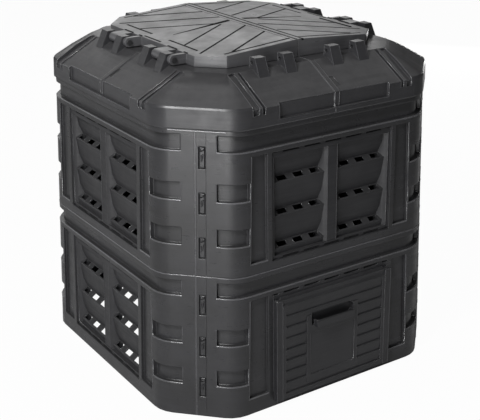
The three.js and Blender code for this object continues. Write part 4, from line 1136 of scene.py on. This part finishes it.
@dataclass
class Studio:
    """White floor, soft lamps and the camera of the photograph.

    Attributes:
        camera_place: Where the camera stands.
        yaw: Its turn to the right, in radians.
        pitch: Its tilt down, in radians.
        lens: Focal length in millimetres.
        sensor: Width of the picture in millimetres.
        near: Distance from which the camera sees.
        target: Height of the point that the lamps face.
        surround: Strength of the even light from all around.
        floor_half: Half the floor's width.
        floor_drop: How far the floor lies below the bin's feet.
        floor_colour: Colour that the lamps see.
        floor_roughness: Roughness of the floor.
        floor_glow: Share of pure white in what the camera sees of the floor.
        lamps: Lamps for the near corner, the edges, the lid, the hidden sides and, low behind, the lid's sheen.
    """

    camera_place: tuple[float, float, float] = (-1.40321, -2.08945, 1.34043)
    yaw: float = 0.5903992
    pitch: float = 0.3844692
    lens: float = 79.57
    sensor: float = 36.0
    near: float = 0.05
    target: float = 0.42
    surround: float = 0.08
    floor_half: float = 30.0
    floor_drop: float = 0.0005
    floor_colour: str = "C3C3C3"
    floor_roughness: float = 0.9
    floor_glow: float = 0.97
    lamps: tuple[Lamp, ...] = (
        Lamp("lamp_corner", (-2.6, -2.35, 0.35), (1.5, 1.2), 61.0),
        Lamp("lamp_edges", (-2.3, -1.2, 2.7), (0.7, 0.7), 95.0),
        Lamp("lamp_top", (-0.4, 0.5, 3.4), (2.0, 2.0), 12.0),
        Lamp("lamp_top_right", (1.8, 0.0, 2.9), (1.6, 1.6), 4.0),
        Lamp("lamp_back", (1.4, 3.3, 2.1), (3.2, 1.4), 23.0),
        Lamp("lamp_left", (-2.4, 3.0, 0.8), (1.4, 1.6), 8.0),
        Lamp("lamp_behind", (2.5, 2.3, 0.34), (2.2, 0.5), 30.0),
    )

    def camera(self) -> None:
        """Sets up the camera."""
        data = bpy.data.cameras.new("camera")
        data.sensor_width = self.sensor
        data.sensor_fit = "HORIZONTAL"
        data.lens = self.lens
        data.clip_start = self.near
        view = add_object("camera", data)
        view.location = self.camera_place
        view.rotation_euler = Euler((QUARTER_TURN - self.pitch, 0.0, -self.yaw), "XYZ")
        bpy.context.scene.camera = view

    def world(self) -> None:
        """Makes a white surrounding for the camera and a dim even one for light."""
        world = bpy.data.worlds.new("studio")
        world.use_nodes = True
        bpy.context.scene.world = world
        tree = world.node_tree
        shown = tree.nodes["Background"]
        shown.inputs["Color"].default_value = linear("FFFFFF")
        even = add_node(tree, "ShaderNodeBackground", {"Color": linear("FFFFFF"), "Strength": self.surround})
        path = add_node(tree, "ShaderNodeLightPath")
        mix = add_node(tree, "ShaderNodeMixShader", {
            0: path.outputs["Is Camera Ray"], 1: even.outputs[0], 2: shown.outputs[0],
        })
        tree.links.new(mix.outputs[0], tree.nodes["World Output"].inputs["Surface"])

    def floor_white(self) -> bpy.types.Material:
        """Makes the floor's white, which keeps a faint shadow.

        Returns:
            The material.
        """
        material = bpy.data.materials.new("floor_white")
        material.use_nodes = True
        tree = material.node_tree
        shader = tree.nodes["Principled BSDF"]
        shader.inputs["Base Color"].default_value = linear(self.floor_colour)
        shader.inputs["Roughness"].default_value = self.floor_roughness
        glow = add_node(tree, "ShaderNodeEmission")
        path = add_node(tree, "ShaderNodeLightPath")
        share = add_node(tree, "ShaderNodeMath", {0: path.outputs["Is Camera Ray"], 1: self.floor_glow},
                         operation="MULTIPLY")
        mix = add_node(tree, "ShaderNodeMixShader", {0: share.outputs[0], 1: shader.outputs[0], 2: glow.outputs[0]})
        tree.links.new(mix.outputs[0], tree.nodes["Material Output"].inputs["Surface"])
        return material

    def floor(self) -> None:
        """Lays the floor."""
        shape = bmesh.new()
        bmesh.ops.create_grid(shape, x_segments=1, y_segments=1, size=self.floor_half)
        mesh = kept_mesh("floor", shape)
        mesh.materials.append(self.floor_white())
        floor = add_object("floor", mesh)
        floor.location.z = -self.floor_drop

    def build(self) -> None:
        """Sets up the whole studio."""
        bpy.context.scene.view_settings.view_transform = "Standard"
        self.camera()
        self.world()
        self.floor()
        for lamp in self.lamps:
            lamp.hang(Vector((0.0, 0.0, self.target)))


def lay_rolls(nodes: dict[str, list[str]]) -> None:
    """Lays the rolls along the edges of the solids, in paler coats as painted highlights, and the dark ones in the
    lid's grooves as painted shade.

    Args:
        nodes: Names of the solids of each group.
    """
    walls, louvres, quarters = nodes["walls"], nodes["louvre inserts"], nodes["hood quarters"]
    # The paler coats of these rolls are painted highlights along the edges.
    wall_edge, louvre_edge, hatch_edge = WALL.painted_highlight(paler=1.9), LOUVRE.painted_highlight(paler=1.4), HATCH.painted_highlight(paler=1.4)
    rolls = EdgeRolls()
    for name, chosen, radius, body, coat in (
        ("wall_rolls_lower", walls[:4], 1.8, Body.BIN, wall_edge),
        ("wall_rolls_upper", walls[4:], 1.8, Body.BIN, wall_edge),
        ("louvre_rolls_lower", louvres[:3], 0.8, Body.BIN, louvre_edge),
        ("louvre_rolls_upper", louvres[3:], 0.8, Body.BIN, louvre_edge),
        ("hood_rolls", quarters, 1.4, Body.BIN, HOOD.painted_highlight(paler=1.4)),
        ("rail_rolls", ["hatch_frame"], 1.2, Body.BIN, hatch_edge),
        ("door_rolls", ["hatch_door"], 0.8, Body.HATCH, hatch_edge),
    ):
        rolls.build(name, chosen, radius * MM, body, coat)
    # The walls' upward-facing ledge edges get a much paler coat: a painted highlight where the light from above
    # falls.
    for tier, chosen in (("lower", walls[:4]), ("upper", walls[4:])):
        name = f"wall_ledge_rolls_{tier}"
        rolls.build(name, chosen, 2.0 * MM, Body.BIN, WALL.painted_highlight(paler=3.5), LEDGE_LEAST_UP)
    # The dark rolls in the lid's grooves are painted shade.
    grooves = EdgeRolls(sunk=0.0, concave=True, lowest=0.788)
    shade = replace(SHADE, slot=LID.slot)
    for side, body in (("left", Body.LEFT_FLAP), ("right", Body.RIGHT_FLAP)):
        name = f"lid_groove_shades_{side}"
        grooves.build(name, [f"lid_{side}"], 2.2 * MM, body, shade, GROOVE_LEAST_UP)


def main() -> None:
    """Builds the studio and dresses every sub-assembly."""
    logging.basicConfig(level=logging.INFO, format="%(name)s: %(message)s")
    Studio().build()
    faces = MouldedFaces()
    groups = carried_groups()
    for group in groups:
        group.dress(faces)
    lay_rolls({group.name: group.nodes for group in groups})
    wall, door = [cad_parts[name].data.materials[0] for name in ("wall_upper_front", "hatch_door")]
    # Dark lips of painted shade in the louvre inserts' slits.
    SlitShades().build(SHADE.build())
    # Dark lines of painted shade along the lid's seam.
    SeamShades().build(SHADE.build())
    # The level corner line's much paler coat is a painted highlight below the hood's rim.
    CornerLines().build(wall, WALL.painted_highlight(paler=3.6).build())
    HatchBeads().build(door)
    LockRidges().build(wall)


if __name__ == "__main__":
    main()
